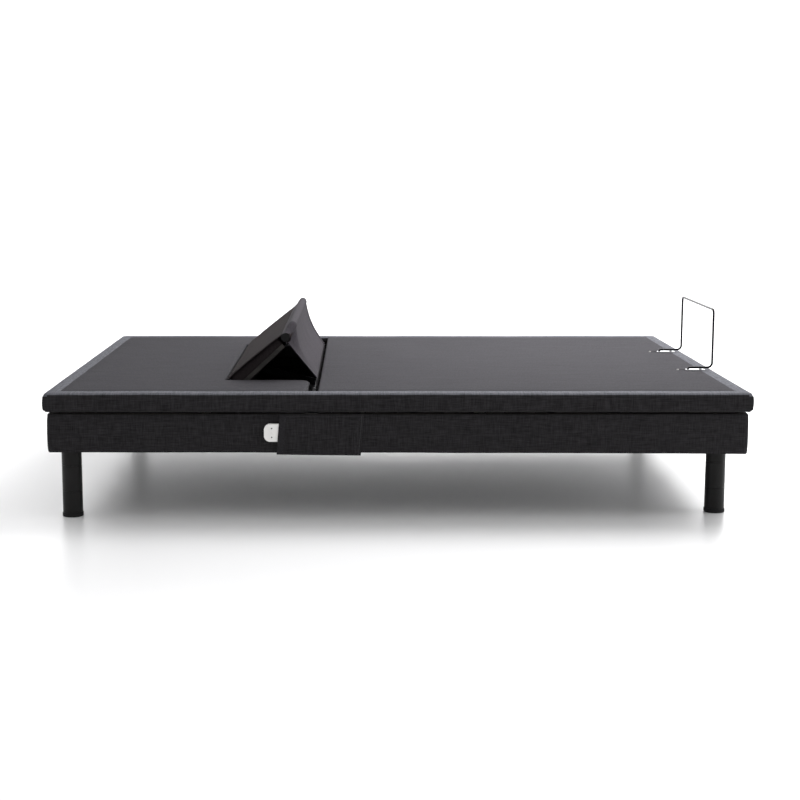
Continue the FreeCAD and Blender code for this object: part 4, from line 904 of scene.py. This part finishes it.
def sling_point(u, v):
    """The sling; u runs across, and v from the rod up to the roll, or at the near end to the bar."""
    seat_side = (HEAD_HIGH.x + SEAT_LOW.x) / 2 + 0.0062
    foot = Vector((seat_side, 0, DECK_BOTTOM + 0.0115))
    bend = Vector((seat_side, 0, DECK_TOP + 0.004))
    crest = on_panel(ROLL_ALONG + 0.0115, ROLL_UP + 0.002, 0)
    bar_side = on_panel(BAR_ALONG - 0.007, BAR_UP - BAR_SLEEVE - 0.0015, 0)
    across = SLING_HALF * (2 * u - 1)
    up = max(0.0, (v - SLING_BEND) / (1 - SLING_BEND))
    down = near_end(across * (1 + SLING_SPREAD), DIP)
    if v < SLING_BEND:
        point = foot.lerp(bend, v / SLING_BEND)
    else:
        point = bend.lerp(crest, up).lerp(bend.lerp(bar_side, up), down)
    bow = math.sin(math.pi * v)
    sag = 0.015 * math.sin(math.pi * up) ** 1.2 * (1 - down)
    curl = 0.004 * max(0.0, 1 - (1 - u) / 0.03) * bow
    ripple = wave(across, 0, v * 0.3, 0.12, 0.0016) * bow
    taper = 1 - 0.012 * bow if u > 0.5 else 1 + SLING_SPREAD * up
    return Vector((point.x - sag + curl + ripple, across * taper, point.z))


def add_sling():
    columns, rows = 110, 36
    grid = [[sling_point(c / columns, r / rows) for c in range(columns + 1)]
            for r in range(rows + 1)]
    sling = thick_sheet("lumbar_sling_cloth", grid, 0.0014, SLING_KNIT, DARK_HEM_AND_PAINTED_SHADE)
    # The sling below the deck's top, down in the hinge gap, gets the dark cloth: painted shade.
    for polygon in sling.data.polygons:
        if polygon.center.z < DECK_TOP - 0.002:
            polygon.material_index = 1
    foot, crest = sling_point(0.5, 0.12), sling_point(0.5, 1)
    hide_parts("lumbar_sling")
    for side, kept in (("near", slice(0, 3)), ("far", slice(columns - 2, columns + 1))):
        strip = [[point + Vector((0.0012, 0, 0)) for point in row[kept]] for row in grid]
        hem = thick_sheet(f"sling_{side}_hem", strip, 0.0012, SLING_KNIT)
        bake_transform(hem)
    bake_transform(sling)


# ---------------------------------------------------------------- retainer slits, drawn as painted shade, and tacks
PLATE_HALF = 0.016
SLIT_SHADE_SIZE = (0.040, 0.0065, 0.0012)
TACK_SIZE = (0.0075, 0.005, 0.0024)


def flat_capsule(name, centre, size, material):
    """A low rounded patch on the foot section, long in X."""
    length, width, height = size
    outline = [(a + math.copysign((length - width) / 2, a), b) for a, b in circle(width / 2, 24)]
    rings = ((1.0, -0.001), (1.0, height * 0.4), (0.86, height), (0.4, height * 1.1))
    points = [centre + Vector((a * scale, b * scale, z)) for scale, z in rings for a, b in outline]
    patch = make_object(name, points, tube_faces(len(rings), len(outline)), material, smooth=70)
    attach(patch, "foot_section")


def add_retainer_details():
    """A dark raised patch as painted shade of a slit in the cloth, and a bright bar tack, at the end of
    each plate.
    """
    plate_low, plate_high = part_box("retainer_plates")
    for side, y in (("near", plate_low.y + PLATE_HALF), ("far", plate_high.y - PLATE_HALF)):
        slit = Vector((plate_low.x - 0.003, y, DECK_TOP))
        tack = Vector((plate_low.x - 0.024, y, DECK_TOP))
        # The slit is drawn as a dark raised patch: painted shade of the opening.
        flat_capsule(f"retainer_slit_shade_{side}", slit, SLIT_SHADE_SIZE, DARK_HEM_AND_PAINTED_SHADE)
        flat_capsule(f"retainer_tack_{side}", tack, TACK_SIZE, THREAD)


# ---------------------------------------------------------------- stage, light and camera
def add_stage():
    """A pale floor that curves up into a pale backdrop."""
    material = new_material("pale_floor", (0.86, 0.86, 0.865), 0.32, Specular_IOR_Level=0.45)
    bump_by(material, noise_node(material, (3, 3, 3)), 0.02, 0.002)
    half, back, bend, height = 14.0, 7.0, 3.0, 9.0
    profile = [(-half, 0.0), (back - bend, 0.0)]
    profile += [(back - bend + bend * math.sin(a), bend - bend * math.cos(a))
                for a in (math.radians(7.5 * n) for n in range(1, 13))]
    profile.append((back, height))
    points = [(x, y, z) for y, z in profile for x in (-half, half)]
    floor = make_object("studio_floor", points, grid_faces(len(profile), 2), material, smooth=60)


def area_light(name, place, target, size, power):
    """A white lamp at a place, turned to a target; size is (width, height), power in watts."""
    light = bpy.data.lights.new(name, "AREA")
    light.shape = "RECTANGLE"
    light.size, light.size_y = size
    light.energy = power
    lamp = bpy.data.objects.new(name, light)
    lamp.location = place
    lamp.rotation_euler = (Vector(target) - Vector(place)).to_track_quat("-Z", "Y").to_euler()
    bpy.context.scene.collection.objects.link(lamp)


def add_lights():
    """A soft surround, brighter behind the bed, and large lamps above, behind and to the right."""
    world = bpy.data.worlds.new("studio")
    world.use_nodes = True
    nodes, links = world.node_tree.nodes, world.node_tree.links
    nodes["Background"].inputs["Color"].default_value = (1.0, 1.0, 1.0, 1)
    direction = nodes.new("ShaderNodeTexCoord")
    parts = nodes.new("ShaderNodeSeparateXYZ")
    spread = nodes.new("ShaderNodeMapRange")
    spread.inputs["From Min"].default_value = -1.0
    spread.inputs["To Min"].default_value = 0.55
    spread.inputs["To Max"].default_value = 1.35
    links.new(direction.outputs["Generated"], parts.inputs["Vector"])
    links.new(parts.outputs["Y"], spread.inputs["Value"])
    links.new(spread.outputs["Result"], nodes["Background"].inputs["Strength"])
    bpy.context.scene.world = world
    bpy.context.scene.view_settings.view_transform = "Standard"
    area_light("top", (0.9, 0.5, 2.1), (0.6, 0.1, 0.3), (1.6, 1.8), 70)
    area_light("backdrop", (0.0, 3.4, 4.6), (0.0, 7.0, 2.6), (9.0, 1.5), 420)
    area_light("back", (1.6, 4.2, 2.4), (0.2, 0, 0.4), (4.0, 2.0), 90)
    area_light("right", (4.6, -1.2, 1.8), (0.2, 0, 0.3), (2.5, 1.8), 40)


# The camera faces the long near side, a little above the deck and looking slightly down.
CAMERA_PLACE = (-0.1076, -5.1603, 1.0185)
CAMERA_PITCH = 8.606    # degrees below level
CAMERA_LENS = 70.18
CAMERA_SHIFT = 0.0496


def add_camera():
    camera = bpy.data.objects.new("camera", bpy.data.cameras.new("camera"))
    camera.location = CAMERA_PLACE
    camera.rotation_euler = (math.radians(90 - CAMERA_PITCH), 0, 0)
    camera.data.lens = CAMERA_LENS
    camera.data.shift_x = CAMERA_SHIFT
    bpy.context.scene.collection.objects.link(camera)
    bpy.context.scene.camera = camera


# ---------------------------------------------------------------- build
dress_cad_nodes()
add_deck_covers()
add_box_cover()
add_dust_sheet()
add_pocket()
add_pocket_stitches()
add_lumbar_pad()
add_bar_sleeve()
add_sling_roll()
add_crest_cloth()
add_sling()
add_retainer_details()
add_stage()
add_lights()
add_camera()
